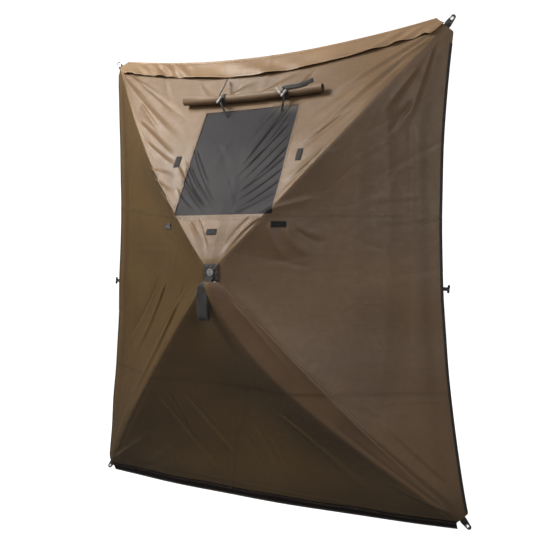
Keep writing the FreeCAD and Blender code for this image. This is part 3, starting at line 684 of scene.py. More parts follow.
class Signal:
    """A number that changes over a surface. Arithmetic on it adds Math nodes."""

    def __init__(self, board: "Board", socket: bpy.types.NodeSocket) -> None:
        """Wraps an output socket of a board's node."""
        self.board = board
        self.socket = socket

    def _math(self, operation: str, *values: "Signal | float") -> "Signal":
        """A Math node on some values."""
        made = self.board.node("ShaderNodeMath", {"operation": operation}, dict(enumerate(values)))
        return Signal(self.board, made)

    def __add__(self, other: "Signal | float") -> "Signal":
        """Sum."""
        return self._math("ADD", self, other)

    __radd__ = __add__

    def __sub__(self, other: "Signal | float") -> "Signal":
        """Difference."""
        return self._math("SUBTRACT", self, other)

    def __rsub__(self, other: float) -> "Signal":
        """Reflected difference."""
        return self._math("SUBTRACT", other, self)

    def __mul__(self, other: "Signal | float") -> "Signal":
        """Product."""
        return self._math("MULTIPLY", self, other)

    __rmul__ = __mul__

    def sin(self) -> "Signal":
        """Sine."""
        return self._math("SINE", self)

    def power(self, exponent: float) -> "Signal":
        """The value raised to an exponent."""
        return self._math("POWER", self, exponent)

    def between(self, low: float, high: float) -> "Signal":
        """0 at low, 1 at high, smooth in between."""
        inputs = {"Value": self, "From Min": low, "From Max": high}
        made = self.board.node("ShaderNodeMapRange", {"interpolation_type": "SMOOTHSTEP"}, inputs)
        return Signal(self.board, made)


Colour = tuple[float, float, float]


class Board:
    """The nodes of one material."""

    def __init__(self, name: str) -> None:
        """Makes an empty node material with a shader and an output."""
        self.material = bpy.data.materials.new(name)
        self.material.use_nodes = True
        self.tree = self.material.node_tree
        self.tree.nodes.clear()
        self.shader = self.tree.nodes.new("ShaderNodeBsdfPrincipled")
        output = self.tree.nodes.new("ShaderNodeOutputMaterial")
        self.tree.links.new(self.shader.outputs[0], output.inputs[0])

    def put(self, socket: bpy.types.NodeSocket, value: object) -> None:
        """Links a signal or a socket to an input, or sets the input's own value."""
        value = value.socket if isinstance(value, Signal) else value
        if isinstance(value, bpy.types.NodeSocket):
            self.tree.links.new(value, socket)
        elif isinstance(value, tuple) and len(value) == 3 and socket.type == "RGBA":
            socket.default_value = (*value, 1.0)
        else:
            socket.default_value = value

    def node(self, kind: str, settings: dict[str, object] | None = None,
             inputs: dict[str | int, object] | None = None, output: str | int = 0) -> bpy.types.NodeSocket:
        """Adds a node.

        Args:
            kind: the node's type.
            settings: its properties, which are set first.
            inputs: values or links of its sockets, by name or number.
            output: the output to give back.

        Returns:
            That output socket.
        """
        node = self.tree.nodes.new(kind)
        for name, value in (settings or {}).items():
            setattr(node, name, value)
        for name, value in (inputs or {}).items():
            self.put(node.inputs[name], value)
        return node.outputs[output]

    def object_place(self, scale: tuple[float, float, float] = (1, 1, 1), turn: float = 0.0) -> bpy.types.NodeSocket:
        """Object coordinates, scaled, and turned about Y."""
        place = self.node("ShaderNodeTexCoord", output="Object")
        inputs = {"Vector": place, "Rotation": (0.0, turn, 0.0), "Scale": scale}
        return self.node("ShaderNodeMapping", None, inputs)

    def sheet_place(self, scale: tuple[float, float, float] = (1, 1, 1)) -> bpy.types.NodeSocket:
        """The piece's own UV, scaled."""
        inputs = {"Vector": self.node("ShaderNodeUVMap", {"uv_map": "Cloth"}), "Scale": scale}
        return self.node("ShaderNodeMapping", None, inputs)

    def number(self, name: str) -> Signal:
        """A named number on the piece's corners."""
        return Signal(self, self.node("ShaderNodeAttribute", {"attribute_name": name}, output="Fac"))

    def noise(self, place: bpy.types.NodeSocket, scale: float, detail: float = 3.0, warp: float = 0.0) -> Signal:
        """Cloudy noise from 0 to 1."""
        inputs = {"Vector": place, "Scale": scale, "Detail": detail, "Distortion": warp}
        return Signal(self, self.node("ShaderNodeTexNoise", None, inputs))

    def axis(self, place: bpy.types.NodeSocket, name: str) -> Signal:
        """One part of a vector."""
        return Signal(self, self.node("ShaderNodeSeparateXYZ", None, {0: place}, name))

    def weave(self, place: bpy.types.NodeSocket, pitch: float, u: str = "X", v: str = "Z") -> Signal:
        """Plain weave, 0 to 1: the product of two sines with one thread's pitch."""
        rate = 2 * math.pi / pitch
        across = (self.axis(place, u) * rate).sin()
        along = (self.axis(place, v) * rate).sin()
        return across * along * 0.5 + 0.5

    def mix(self, mask: Signal | float, a: object, b: object) -> bpy.types.NodeSocket:
        """Colour a where the mask is 0, b where it is 1."""
        inputs = {0: mask, 6: a, 7: b}
        return self.node("ShaderNodeMix", {"data_type": "RGBA", "clamp_factor": True}, inputs, 2)

    def bump(self, height: Signal, strength: float, depth: float,
             under: bpy.types.NodeSocket | None = None) -> bpy.types.NodeSocket:
        """A normal roughened by a height, over another bump."""
        inputs = {"Height": height, "Strength": strength, "Distance": depth}
        if under is not None:
            inputs["Normal"] = under
        return self.node("ShaderNodeBump", None, inputs)

    def dress(self, **sockets: object) -> bpy.types.Material:
        """Sets the shader's sockets, words joined by underscores, and gives the material back."""
        for name, value in sockets.items():
            self.put(self.shader.inputs[name.replace("_", " ")], value)
        return self.material


def tinted(colour: Colour, factor: float) -> Colour:
    """A colour made lighter or darker by a factor."""
    return tuple(min(part * factor, 1.0) for part in colour)


@dataclass(frozen=True)
class CoatedCloth:
    """Coated woven polyester: soft mottling, fine weave, small creases and rubbed folds."""

    name: str
    colour: Colour
    roughness: float = 0.44
    weave_pitch: float = 0.0011
    slot: str = "shell_cloth"

    def material(self) -> bpy.types.Material:
        """Makes the material.

        The colour drifts over hand-wide clouds and finer mottling, is darker on the inside of the hem band and
        warmer on the turned edge, lighter where a fold is rubbed and darker towards the floor; on the bottom panel
        up to the tent's crest it takes the side facet's colour as painted light.

        Returns:
            The material.
        """
        board = Board(self.name)
        place = board.object_place()
        drift = board.noise(place, 3.2, 3.0, 0.4).between(0.34, 0.66)
        mottle = board.noise(place, 46.0, 4.0).between(0.3, 0.72)
        streak = board.noise(board.object_place((9.0, 9.0, 120.0), 0.4), 1.0, 3.0).between(0.35, 0.7)
        colour = board.mix(drift, tinted(self.colour, 0.90), tinted(self.colour, 1.10))
        colour = board.mix(mottle * 0.16, colour, tinted(self.colour, 0.62))
        colour = board.mix(streak * 0.10, colour, tinted(self.colour, 1.45))
        threads = board.weave(place, self.weave_pitch)
        colour = board.mix(threads * 0.16, colour, tinted(self.colour, 0.55))
        colour = board.mix(board.number("band") * 0.45, colour, tinted(self.colour, 0.50))
        colour = board.mix(board.number("turned") * 0.75, colour, (0.165, 0.108, 0.062))
        colour = board.mix(board.number("rubbed") * 0.35, colour, tinted(self.colour, 1.8))
        # Darker towards the floor.
        colour = board.mix(board.number("dark_near_floor") * 0.6, colour, (0.045, 0.034, 0.024))
        # Painted light: between the lower right pole and the tent's crest the bottom panel takes the side facet's
        # lit colour.
        side_lit_colour = board.mix(drift, (0.140, 0.087, 0.051), (0.175, 0.108, 0.063))
        colour = board.mix(board.number("painted_side_light"), colour, side_lit_colour)
        creases = board.noise(place, 17.0, 3.0, 1.6)
        ridges = (creases * 2.0 - 1.0).power(2.0)
        crumple = board.bump(ridges, 0.30, 0.0042)
        fine = board.bump(board.noise(place, 95.0, 4.0, 0.6), 0.16, 0.0014, crumple)
        normal = board.bump(threads, 0.22, 0.0003, fine)
        roughness = mottle * 0.10 + drift * 0.06 + (self.roughness - 0.08)
        return board.dress(Base_Color=colour, Roughness=roughness, Normal=normal, Specular_IOR_Level=0.30,
                           Sheen_Weight=0.02, Sheen_Roughness=0.4)


@dataclass(frozen=True)
class WindowFilm:
    """Smoked window film: grey, half glossy, with a fine printed mesh and soft creases."""

    name: str = "window_film"
    colour: Colour = (0.030, 0.028, 0.031)

    def material(self) -> bpy.types.Material:
        """Makes the material: fine dots over clouds of grey, dusty patches and soft creases."""
        board = Board(self.name)
        place = board.object_place()
        cloud = board.noise(place, 6.0, 3.0, 0.8).between(0.3, 0.7)
        dust = board.noise(place, 28.0, 5.0, 0.6).between(0.5, 0.8)
        dots = board.weave(place, 0.0024).between(0.70, 0.95)
        colour = board.mix(cloud, tinted(self.colour, 0.78), tinted(self.colour, 1.20))
        colour = board.mix(dots * 0.45, colour, tinted(self.colour, 0.35))
        colour = board.mix(dust * 0.12, colour, (0.090, 0.085, 0.080))
        colour = board.mix(board.number("haze") * 0.8, colour, (0.110, 0.098, 0.085))
        creases = (board.noise(board.object_place((1.0, 1.0, 1.0), 0.9), 20.0, 2.0, 2.2) * 2.0 - 1.0).power(2.0)
        normal = board.bump(dots, 0.12, 0.0003, board.bump(creases, 0.30, 0.0035))
        return board.dress(Base_Color=colour, Roughness=cloud * 0.08 + dust * 0.08 + 0.46, Normal=normal,
                           Specular_IOR_Level=0.10)


@dataclass(frozen=True)
class Webbing:
    """Woven webbing or tape: ribs across its width, fuzzy edges and a little wear.

    Attributes:
        name: name of the material.
        colour: its colour.
        rib: pitch of the ribs along it.
        own_uv: whether the pattern follows the piece's UV, or Object coordinates turned by turn.
        turn: turn about Y of the pattern on Object coordinates.
    """

    name: str
    colour: Colour
    rib: float = 0.0022
    own_uv: bool = True
    turn: float = 0.0

    def material(self) -> bpy.types.Material:
        """Makes the material: herringbone ribs with painted shade in the valleys and painted light on the crests,
        lighter worn dusty spots and a rib bump.
        """
        board = Board(self.name)
        place = board.sheet_place() if self.own_uv else board.object_place(turn=self.turn)
        across = board.axis(place, "X")
        along = board.axis(place, "Y" if self.own_uv else "Z")
        slant = (across * (2 * math.pi / 0.0045)).sin() * 0.9
        ribs = (along * (2 * math.pi / self.rib) + slant).sin() * 0.5 + 0.5
        cords = (across * (2 * math.pi / 0.0016)).sin() * 0.5 + 0.5
        height = ribs * 0.7 + cords * 0.3
        worn = board.noise(place, 60.0, 4.0).between(0.45, 0.8)
        # Painted shade in the rib valleys and painted light on the crests, from the same height as the bump.
        colour = board.mix(height, tinted(self.colour, 0.45), tinted(self.colour, 1.25))
        colour = board.mix(worn * 0.35, colour, tinted(self.colour, 2.1))
        normal = board.bump(height, 0.55, 0.0007)
        return board.dress(Base_Color=colour, Roughness=worn * 0.10 + 0.56, Normal=normal,
                           Specular_IOR_Level=0.4, Sheen_Weight=0.2, Sheen_Roughness=0.5)


@dataclass(frozen=True)
class HookPad:
    """Hook-and-loop tape: a field of tiny hooks with flattened spots."""

    name: str = "hook_pad"
    colour: Colour = (0.014, 0.013, 0.014)

    def material(self) -> bpy.types.Material:
        """Makes the material: cells for the hooks, lint on top."""
        board = Board(self.name)
        place = board.object_place()
        cells = Signal(board, board.node("ShaderNodeTexVoronoi", None, {"Vector": place, "Scale": 750.0}))
        lint = board.noise(place, 260.0, 4.0).between(0.55, 0.8)
        colour = board.mix(cells, tinted(self.colour, 1.6), tinted(self.colour, 0.4))
        colour = board.mix(lint * 0.4, colour, (0.10, 0.09, 0.08))
        normal = board.bump(cells, 0.7, 0.0010)
        return board.dress(Base_Color=colour, Roughness=lint * 0.1 + 0.75, Normal=normal,
                           Specular_IOR_Level=0.3, Sheen_Weight=0.3)


@dataclass(frozen=True)
class HardFinish:
    """Metal, moulded plastic or fibre rod.

    Attributes:
        name: name of the material.
        colour: its colour.
        metal: 1 for metal, 0 for plastic.
        roughness: its mean roughness.
        grain: scale of the surface grain.
        depth: depth of the grain in metres.
        stretch: how much the grain is drawn out along each axis.
        coat: weight of a clear coat.
    """

    name: str
    colour: Colour
    metal: float = 0.0
    roughness: float = 0.4
    grain: float = 400.0
    depth: float = 0.0002
    stretch: tuple[float, float, float] = (1.0, 1.0, 1.0)
    coat: float = 0.0

    def material(self) -> bpy.types.Material:
        """Makes the material: grain, scuffed spots that are duller, and slight soiling."""
        board = Board(self.name)
        place = board.object_place(self.stretch)
        grain = board.noise(place, self.grain, 4.0)
        scuff = board.noise(board.object_place(), 70.0, 5.0, 0.8).between(0.52, 0.75)
        soil = board.noise(board.object_place(), 24.0, 3.0).between(0.5, 0.85)
        colour = board.mix(grain.between(0.3, 0.7) * 0.3, self.colour, tinted(self.colour, 0.7))
        colour = board.mix(soil * 0.30, colour, tinted(self.colour, 0.45))
        colour = board.mix(scuff * 0.25, colour, tinted(self.colour, 1.35))
        normal = board.bump(grain, 0.35, self.depth)
        roughness = scuff * 0.14 + soil * 0.08 + self.roughness
        return board.dress(Base_Color=colour, Roughness=roughness, Normal=normal, Metallic=self.metal,
                           Specular_IOR_Level=0.5, Coat_Weight=self.coat, Coat_Roughness=0.2)


@dataclass
class Finishes:
    """Every finish of the wall, made once."""

    made: dict[str, bpy.types.Material] = field(default_factory=dict)

    def __post_init__(self) -> None:
        """Makes the materials."""
        shell_brown = (0.170, 0.112, 0.066)
        # The facets are one fabric: their colours differ as painted light and shade, the header lightest, then the
        # top, the right and the bottom, and the left darkest and more golden.
        kinds = [
            CoatedCloth("cloth_top", (0.182, 0.116, 0.066)),
            CoatedCloth("cloth_header", (0.265, 0.172, 0.098)),
            CoatedCloth("cloth_left", (0.100, 0.058, 0.019)),
            CoatedCloth("cloth_right", (0.170, 0.106, 0.061)),
            CoatedCloth("cloth_bottom", (0.140, 0.089, 0.042)),
            CoatedCloth("cloth_roll", shell_brown, 0.50),
            CoatedCloth("cloth_skirt", (0.009, 0.005, 0.004), 0.62, 0.0014),
            CoatedCloth("cloth_patch", (0.060, 0.052, 0.048), 0.55, 0.0016),
            WindowFilm(),
            Webbing("black_webbing", (0.024, 0.022, 0.021)),
            Webbing("strap_webbing", (0.030, 0.027, 0.026), 0.0024),
            HookPad(),
            HardFinish("rod_fibre", (0.030, 0.029, 0.028), 0.0, 0.34, 260.0, 0.0002, (1.0, 1.0, 0.06), 0.2),
            HardFinish("ferrule_metal", (0.60, 0.60, 0.62), 1.0, 0.36, 500.0, 0.0001, (1.0, 1.0, 0.1)),
            HardFinish("hub_plastic", (0.026, 0.026, 0.028), 0.0, 0.42, 900.0, 0.0003),
            HardFinish("bright_steel", (0.80, 0.79, 0.77), 1.0, 0.36, 300.0, 0.00008),
            HardFinish("toggle_plastic", (0.50, 0.48, 0.44), 0.0, 0.38, 500.0, 0.0002),
            HardFinish("thread", (0.060, 0.048, 0.036), 0.0, 0.60, 1500.0, 0.0002),
            HardFinish("thread_pale", (0.200, 0.160, 0.120), 0.0, 0.60, 1500.0, 0.0002),
        ]
        for kind in kinds:
            self.made[kind.name] = kind.material()
        for corner in Corner:
            turn = math.atan2(corner.side * 0.64, corner.level * 0.77)
            name = "pouch_webbing_" + corner.label
            self.made[name] = Webbing(name, (0.026, 0.023, 0.021), 0.0024, False, -turn).material()

    def __getitem__(self, name: str) -> bpy.types.Material:
        """A finish by name."""
        return self.made[name]


# ---------------------------------------------------------------- cloth on the poles


@dataclass
class HalfFacet:
    """Half of a facet: the cloth between a pole and the facet's middle, and all that is sewn to it."""

    corner: Corner
    facet: Facet
    cloth: ClothField
    finishes: Finishes

    @property
    def label(self) -> str:
        """Name that its pieces end with."""
        return f"{self.corner.label}" if self.facet is Facet.SIDE else self.corner.end

    def gather_axis(self) -> Array:
        """Direction in the facet, square to the pole, towards the facet's middle."""
        size = self.cloth.size
        reach = size.hub_reach
        corner = size.corner_place(self.corner)
        pole = np.array([corner[0], reach, corner[1] - size.hub_height])
        pole = pole / np.linalg.norm(pole)
        rise = size.corner_height - size.hub_height
        middles = {
            Facet.TOP: (0.0, reach, rise),
            Facet.BOTTOM: (0.0, reach, -size.hub_height),
            Facet.SIDE: (self.corner.side * size.side_reach, reach, 0.0),
        }
        middle = np.array(middles[self.facet])
        axis = middle - pole * (middle @ pole)
        return axis / np.linalg.norm(axis)

    def attach(self, obj: bpy.types.Object, slot: str, *replaced: str) -> bpy.types.Object:
        """Puts a piece on the pole that carries this half and hides the CAD nodes that it stands for.

        Args:
            obj: the piece.
            slot: not used.
            replaced: CAD nodes that it stands for.

        Returns:
            The piece.
        """
        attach(obj, "pole_" + self.corner.label)
        "fold_" + self.corner.label
        tuple(self.gather_axis())
        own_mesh(obj)
        if replaced:
            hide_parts(*replaced)
        LOG.info("%s: %d corners on pole_%s", obj.name, len(obj.data.vertices), self.corner.label)
        return obj

    def outer_edge(self, count: int) -> tuple[Array, Array]:
        """(x, z) of the half's outer edge, from its pole to the facet's middle."""
        size, side = self.cloth.size, self.corner.side
        x, z = size.corner_place(self.corner)
        share = np.linspace(0, 1, count)
        if self.facet is Facet.TOP:
            edge_x = x * (1 - share)
            return edge_x, size.top_edge(edge_x)
        foot = x * (1 - size.cloth_bottom / size.hub_height)
        if self.facet is Facet.BOTTOM:
            return foot * (1 - share), np.full(count, size.cloth_bottom)
        low = size.cloth_bottom if self.corner.level < 0 else z
        edge_z = low + (size.hub_height - low) * share
        edge_x = side * size.side_edge(edge_z)
        if self.corner.level < 0:
            edge_x = edge_x + (foot - edge_x[0]) * np.clip(1 - share * 30, 0, 1)
        return edge_x, edge_z

    def flat_size(self) -> tuple[tuple[float, float], float]:
        """Width and length that the half is cut from, and its area: half of that rectangle, less the window."""
        size = self.cloth.size
        rise = size.corner_height - size.hub_height
        if self.facet is Facet.TOP:
            width, length, gone = size.top_half, math.hypot(rise, size.hub_reach), 0.19 * 0.386 * 1.1
        elif self.facet is Facet.BOTTOM:
            width, length, gone = size.bottom_half, math.hypot(size.hub_height, size.hub_reach), 0.0
        else:
            width, length, gone = abs(rise), math.hypot(size.side_reach, size.hub_reach), 0.0
        return (width, length), width * length / 2 - gone


def rectangle_snap(x: Array, z: Array, half: float, low: float, high: float) -> tuple[Array, Array, Array]:
    """Which places lie inside a rectangle about x = 0, and all places with those moved to its nearest side."""
    inside = (np.abs(x) < half) & (z > low) & (z < high)
    gaps = np.stack([half - np.abs(x), z - low, high - z])
    nearest = np.argmin(gaps, axis=0)
    side = np.where(x < 0, -1.0, 1.0)
    moved_x = np.where(inside & (nearest == 0), side * half, x)
    moved_z = np.where(inside & (nearest == 1), low, np.where(inside & (nearest == 2), high, z))
    return inside, moved_x, moved_z


def all_corners(mask: Array) -> Array:
    """For each grid quad, whether the mask holds at all four of its corners."""
    return mask[:-1, :-1] & mask[1:, :-1] & mask[:-1, 1:] & mask[1:, 1:]


@dataclass
class WindowSize:
    """The window in metres: half width, sill, head, and the border sewn round it."""

    half: float = 0.190
    low: float = 1.045
    high: float = 1.431
    border: float = 0.013
    lap: float = 0.010


@dataclass
class Panel(HalfFacet):
    """The half facet's cloth."""

    window: WindowSize = field(default_factory=WindowSize)
    rows: int = 150
    cols: int = 96
    inner: float = 0.036

    def finish_name(self) -> str:
        """The cloth's finish: each facet has its own colour of the one fabric, lighter or darker as painted light
        and shade for the way that facet faces the light.
        """
        if self.facet is Facet.SIDE:
            return "cloth_" + self.corner.end
        return "cloth_" + self.facet.value

    def places(self) -> tuple[Array, Array, Array]:
        """(x, z) grid of the cloth, trimmed at the window and the corner tab, and the quads that stay.

        The grid runs from the hub to the outer edge and from the pole to the facet's middle.

        Returns:
            x, z and the mask of kept quads.
        """
        size = self.cloth.size
        edge_x, edge_z = self.outer_edge(self.cols)
        ease = np.linspace(0, 1, self.rows)[:, None]
        share = self.inner + (1 - self.inner) * (0.35 * ease ** 2 + 0.65 * ease)
        x = edge_x[None, :] * share
        z = size.hub_height + (edge_z[None, :] - size.hub_height) * share
        dx, dz = self.cloth.drift(x, z)
        fixed = 1 - np.clip((share - 0.97) / 0.03, 0, 1)
        x, z = x + dx * fixed, z + dz * fixed
        direction, length = size.pole_line(self.corner)
        past = x * direction[0] + (z - size.hub_height) * direction[1] - (length - size.tab_length)
        keep = ~all_corners(past > 0)
        past = np.clip(past, 0, None)
        x, z = x - past * direction[0], z - past * direction[1]
        if self.corner.level > 0:
            inside, x, z = rectangle_snap(x, z, self.window.half, self.window.low, self.window.high)
            keep &= ~all_corners(inside)
        return x, z, keep

    def marks(self, x: Array, z: Array) -> dict[str, Array]:
        """Numbers for the finish: the hem band, the turned edge, rubbed folds, darkening near the floor, and painted
        light of the side facet's colour on the bottom panel up to the tent's crest.
        """
        size = self.cloth.size
        inwards = size.side_edge(z) - np.abs(x)
        near_middle = hump(z, 1.05, 0.75)
        band = hump(inwards, 0.056, 0.020) * near_middle
        turned = hump(inwards, 0.022, 0.014) * near_middle * (1.0 if self.corner.side > 0 else 0.3)
        if self.facet is not Facet.SIDE:
            band, turned = band * 0, turned * 0
        side = np.abs(x) / size.side_reach
        upright = np.abs(z - size.hub_height) / size.hub_height
        rubbed = hump(side - upright, 0.0, 0.014) * 0.8
        # Darker over the lowest 0.16 m, towards the floor.
        dark_near_floor = np.clip(1 - z / 0.16, 0, 1) ** 1.5
        # Painted light: the side facet's lit colour carried onto the bottom panel up to the tent's crest.
        painted_side_light = self.cloth.before_crest(x, z) if self.facet is Facet.BOTTOM else band * 0
        return {"band": band, "turned": turned, "rubbed": rubbed, "dark_near_floor": dark_near_floor, "painted_side_light": painted_side_light}

    def build(self) -> bpy.types.Object:
        x, z, keep = self.places()
        points, normals = self.cloth.points(x, z)
        data = shell(points, normals, CLOTH, keep, self.marks(x, z))
        name = f"{self.facet.value}_panel_{self.label}"
        obj = make_object(name, data, self.finishes[self.finish_name()])
        node = f"{self.facet.value}_cloth_{self.label}"
        self.attach(obj, "shell_cloth", node)
        flat, area = self.flat_size()
        "pole_rod_" + self.corner.label
        return obj


@dataclass
class Strip(HalfFacet):
    """Trim along a line on the cloth: seam tape, window border, hem strip or edge binding."""

    def lay(self, name: str, line: tuple[Array, Array], inner: tuple[Array, Array], finish: str, slot: str,
            lift: float, thickness: float, replaced: Sequence[str] = (), rows: int = 7) -> bpy.types.Object:
        """Lays a band on the cloth between two lines of places.

        Args:
            name: name of the piece.
            line: x and z of its outer line.
            inner: x and z of its inner line.
            finish: its finish.
            slot: handed on to attach, which does not use it.
            lift: how far its face stands off the cloth.
            thickness: its thickness.
            replaced: CAD nodes that it stands for.
            rows: points across the band.

        Returns:
            The piece.
        """
        share = np.linspace(0, 1, rows)[:, None]
        x = line[0] * (1 - share) + inner[0] * share
        z = line[1] * (1 - share) + inner[1] * share
        points, normals = self.cloth.points(x, z)
        edge = 0.35 + 0.65 * np.sqrt(np.clip(np.sin(math.pi * share), 0, 1))
        points = points + normals * (lift * edge)[..., None]
        run = np.concatenate([[0.0], np.cumsum(np.hypot(np.diff(line[0]), np.diff(line[1])))])
        width = np.hypot(line[0] - inner[0], line[1] - inner[1]).mean()
        uv = np.stack(np.broadcast_arrays(share * width, run[None, :]), -1)
        numbers = {key: np.zeros_like(x) for key in ("band", "turned", "rubbed", "dark_near_floor")}
        obj = make_object(name, shell(points, normals, thickness, None, numbers, uv), self.finishes[finish])
        return self.attach(obj, slot, *replaced)

    def sew(self, name: str, lines: Sequence[tuple[Array, Array]], lift: float, finish: str = "thread",
            slot: str = "shell_cloth") -> bpy.types.Object:
        """Sews rows of stitches along lines of places, as one piece."""
        made = None
        for x, z in lines:
            points, normals = self.cloth.points(x, z)
            row = stitches(points + normals * lift, normals)
            made = row if made is None else made.joined(row)
        return self.attach(make_object(name, made, self.finishes[finish], merge=False), slot)


@dataclass
class Header(HalfFacet):
    """Flap over the top edge: turned over the edge from behind, free at its lower edge."""

    depth: float = 0.070
    gap: float = 0.0050
    thickness: float = 0.0012
    taper: float = 0.083
    cols: int = 170
    rows: int = 30

    def ruffle(self, x: Array, w: Array) -> Array:
        """Waves of the free edge: long swells and short ripples in x, with twisted folds near the right end."""
        rng = np.random.default_rng(5)
        waves = [(rng.uniform(0.05, 0.34), rng.uniform(0, 6.28), rng.uniform(-7, 7)) for _ in range(9)]
        swell = sum(np.sin(2 * math.pi * x / length + phase + w * lean) * length for length, phase, lean in waves)
        twist = np.sin(x * 62 + w * 4.2) * 0.0042 * hump(x, 0.56, 0.10)
        twist = twist + np.sin(x * 95 - w * 3.0) * 0.0030 * hump(x, -0.45, 0.12)
        return swell * 0.0058 * w + twist * np.clip(w * 2.5, 0, 1)

    def build(self) -> list[bpy.types.Object]:
        """Builds the flap, its stitches and its edge, from a grid two columns past the middle."""
        size = self.cloth.size
        edge = self.corner.side * size.top_half * (1 - np.linspace(0, 1, self.cols))
        edge = np.concatenate([edge, -edge[-2:-4:-1]])[None, :]
        v = np.linspace(0, 1, self.rows)[:, None]
        w = np.clip((v - 0.2) / 0.8, 0, 1)
        x = edge * (1 - self.taper * w)
        z = size.top_edge(edge) - self.depth * w * (0.86 + 0.14 * hump(edge, 0.0, 0.45))
        direction, length = size.pole_line(self.corner)
        past = x * direction[0] + (z - size.hub_height) * direction[1] - (length - size.tab_length)
        keep = ~all_corners(past > 0)
        past = np.clip(past, 0, None)
        x, z = x - past * direction[0], z - past * direction[1]
        points, normals = self.cloth.points(x, z)
        turn = np.clip(v / 0.2, 0, 1) * math.pi
        radius = self.gap
        lift = np.where(w > 0, radius + 0.006 * w + self.ruffle(edge, w), -radius * np.cos(turn))
        lift = np.where(w > 0, np.maximum(lift, 0.0028), lift)
        points = points + normals * lift[..., None]
        points[..., 2] += radius * 0.9 * np.sin(turn)
        facing = np.where((v < 0.1)[..., None], -normals, normals) + np.array([0, 0, 0.3])
        towards = surface_normals(points, facing)
        points, towards, keep = points[:, :-2], towards[:, :-2], keep[:, :-2]
        numbers = {key: np.zeros(points.shape[:2]) for key in ("band", "turned", "dark_near_floor", "painted_side_light")}
        numbers["rubbed"] = np.broadcast_to(hump(v, 0.16, 0.08) + 0.5 * hump(v, 1.0, 0.03), points.shape[:2])
        data = shell(points, towards, self.thickness, keep, numbers)
        # The flap takes the header colour, lighter than the top cloth: painted light on its upturned face.
        flap = make_object("header_" + self.corner.end, data, self.finishes["cloth_header"])
        self.attach(flap, "shell_cloth", "header_flap_" + self.corner.end)
        "top_panel_" + self.corner.end
        inner = slice(6, self.cols - 1)
        rows = [8, 9, self.rows - 4]
        made = None
        for row in rows:
            line = stitches(points[row, inner] + towards[row, inner] * 0.0002, towards[row, inner])
            made = line if made is None else made.joined(line)
        sewn = make_object("header_stitches_" + self.corner.end, made, self.finishes["thread_pale"], merge=False)
        return [flap, self.attach(sewn, "shell_cloth")]


@dataclass
class Window(HalfFacet):
    """Half of the window: the film behind the opening, and the border sewn round it."""

    window: WindowSize = field(default_factory=WindowSize)

    def build(self) -> None:
        """Builds the film and the border with its stitches."""
        w, side, end = self.window, self.corner.side, self.corner.end
        across = side * np.linspace(w.half + w.lap, 0, 84)[None, :]
        up = np.linspace(w.low - w.lap, w.high + w.lap, 168)[:, None]
        x, z = np.broadcast_arrays(across, up)
        points, normals = self.cloth.points(x, z)
        haze = hump(x, 0.145, 0.055) * hump(z, 1.432, 0.022)
        data = shell(points - normals * (CLOTH + 0.0008), normals, 0.0006, None, {"haze": haze})
        film = make_object("window_film_sheet_" + end, data, self.finishes["window_film"])
        self.attach(film, "window_film", "window_film_" + end)
        "top_panel_" + end
        strip = Strip(self.corner, self.facet, self.cloth, self.finishes)
        outer = self.outline(w.border * 0.62)
        strip.lay("window_border_" + end, outer, self.outline(-0.0006), "cloth_top", "shell_cloth", 0.0010, 0.0009)
        rows = [self.outline(0.0022), self.outline(0.0062)]
        strip.sew("window_stitches_" + end, rows, 0.0011, "thread")

    def outline(self, away: float) -> tuple[Array, Array]:
        """Half of the rectangle round the opening, away from its edge, from the head's middle to the sill's."""
        w, side = self.window, self.corner.side
        half, low, high = w.half + away, w.low - away, w.high + away
        head, post = np.linspace(0, half, 70), np.linspace(high, low, 130)
        x = np.concatenate([head, np.full(128, half), head[::-1]]) * side
        z = np.concatenate([np.full(70, high), post[1:-1], np.full(70, low)])
        return x, z


@dataclass
class RolledCover(HalfFacet):
    """Half of the rolled-up window cover: one sheet wound in a spiral, its free edge hanging a little."""

    turns: float = 6.5
    settle: float = 0.026
    inner_radius: float = 0.004
    thickness: float = 0.0010

    def build(self) -> bpy.types.Object:
        """Builds the roll: radius grows evenly with the turn; lumps and a slight sag vary along it.

        Returns:
            The roll.
        """
        node = "rolled_cover_" + self.corner.end
        low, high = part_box(node)
        side = self.corner.side
        length = high.x - low.x
        centre_y, centre_z = (low.y + high.y) / 2, (low.z + high.z) / 2
        outer = (high.z - low.z) / 2 - 0.0008
        cols = 64
        run = np.linspace(0, 1, cols)[None, :]
        wind = np.linspace(0, 1, int(self.turns * 30))[:, None]
        turn = wind * self.turns * 2 * math.pi
        x = side * run * length
        lump = 1 + 0.045 * np.sin(x * 34 + 1.0) * wind + 0.035 * np.sin(x * 71 + turn * 0.5) * wind
        radius = (self.inner_radius + (outer - self.inner_radius) * wind) * lump / 1.05
        free = np.clip((wind - 0.975) / 0.025, 0, 1) ** 2 * (0.001 + 0.006 * hump(x, -0.27, 0.06))
        angle = turn * -1.0 - 0.9
        y = centre_y + self.settle * (1 - 0.5 * (x / 0.278) ** 2) + (radius + free) * np.cos(angle)
        z = centre_z + (radius + free) * np.sin(angle) - 0.0030 * (1 - (x / 0.28) ** 2)
        x = x + side * 0.006 * (wind - 0.5) * run ** 6
        points = np.stack(np.broadcast_arrays(x, y, z), -1)
        radial = np.stack(np.broadcast_arrays(x * 0, np.cos(angle), np.sin(angle)), -1)
        normals = surface_normals(points, radial)
        numbers = {key: np.zeros(points.shape[:2]) for key in ("band", "turned", "dark_near_floor", "painted_side_light")}
        numbers["rubbed"] = np.broadcast_to(hump(wind, 1.0, 0.01), points.shape[:2])
        data = shell(points, normals, self.thickness, None, numbers)
        roll = make_object("cover_roll_" + self.corner.end, data, self.finishes["cloth_roll"])
        self.attach(roll, "shell_cloth", node)
        "cover_tie_band_" + self.corner.end
        return roll


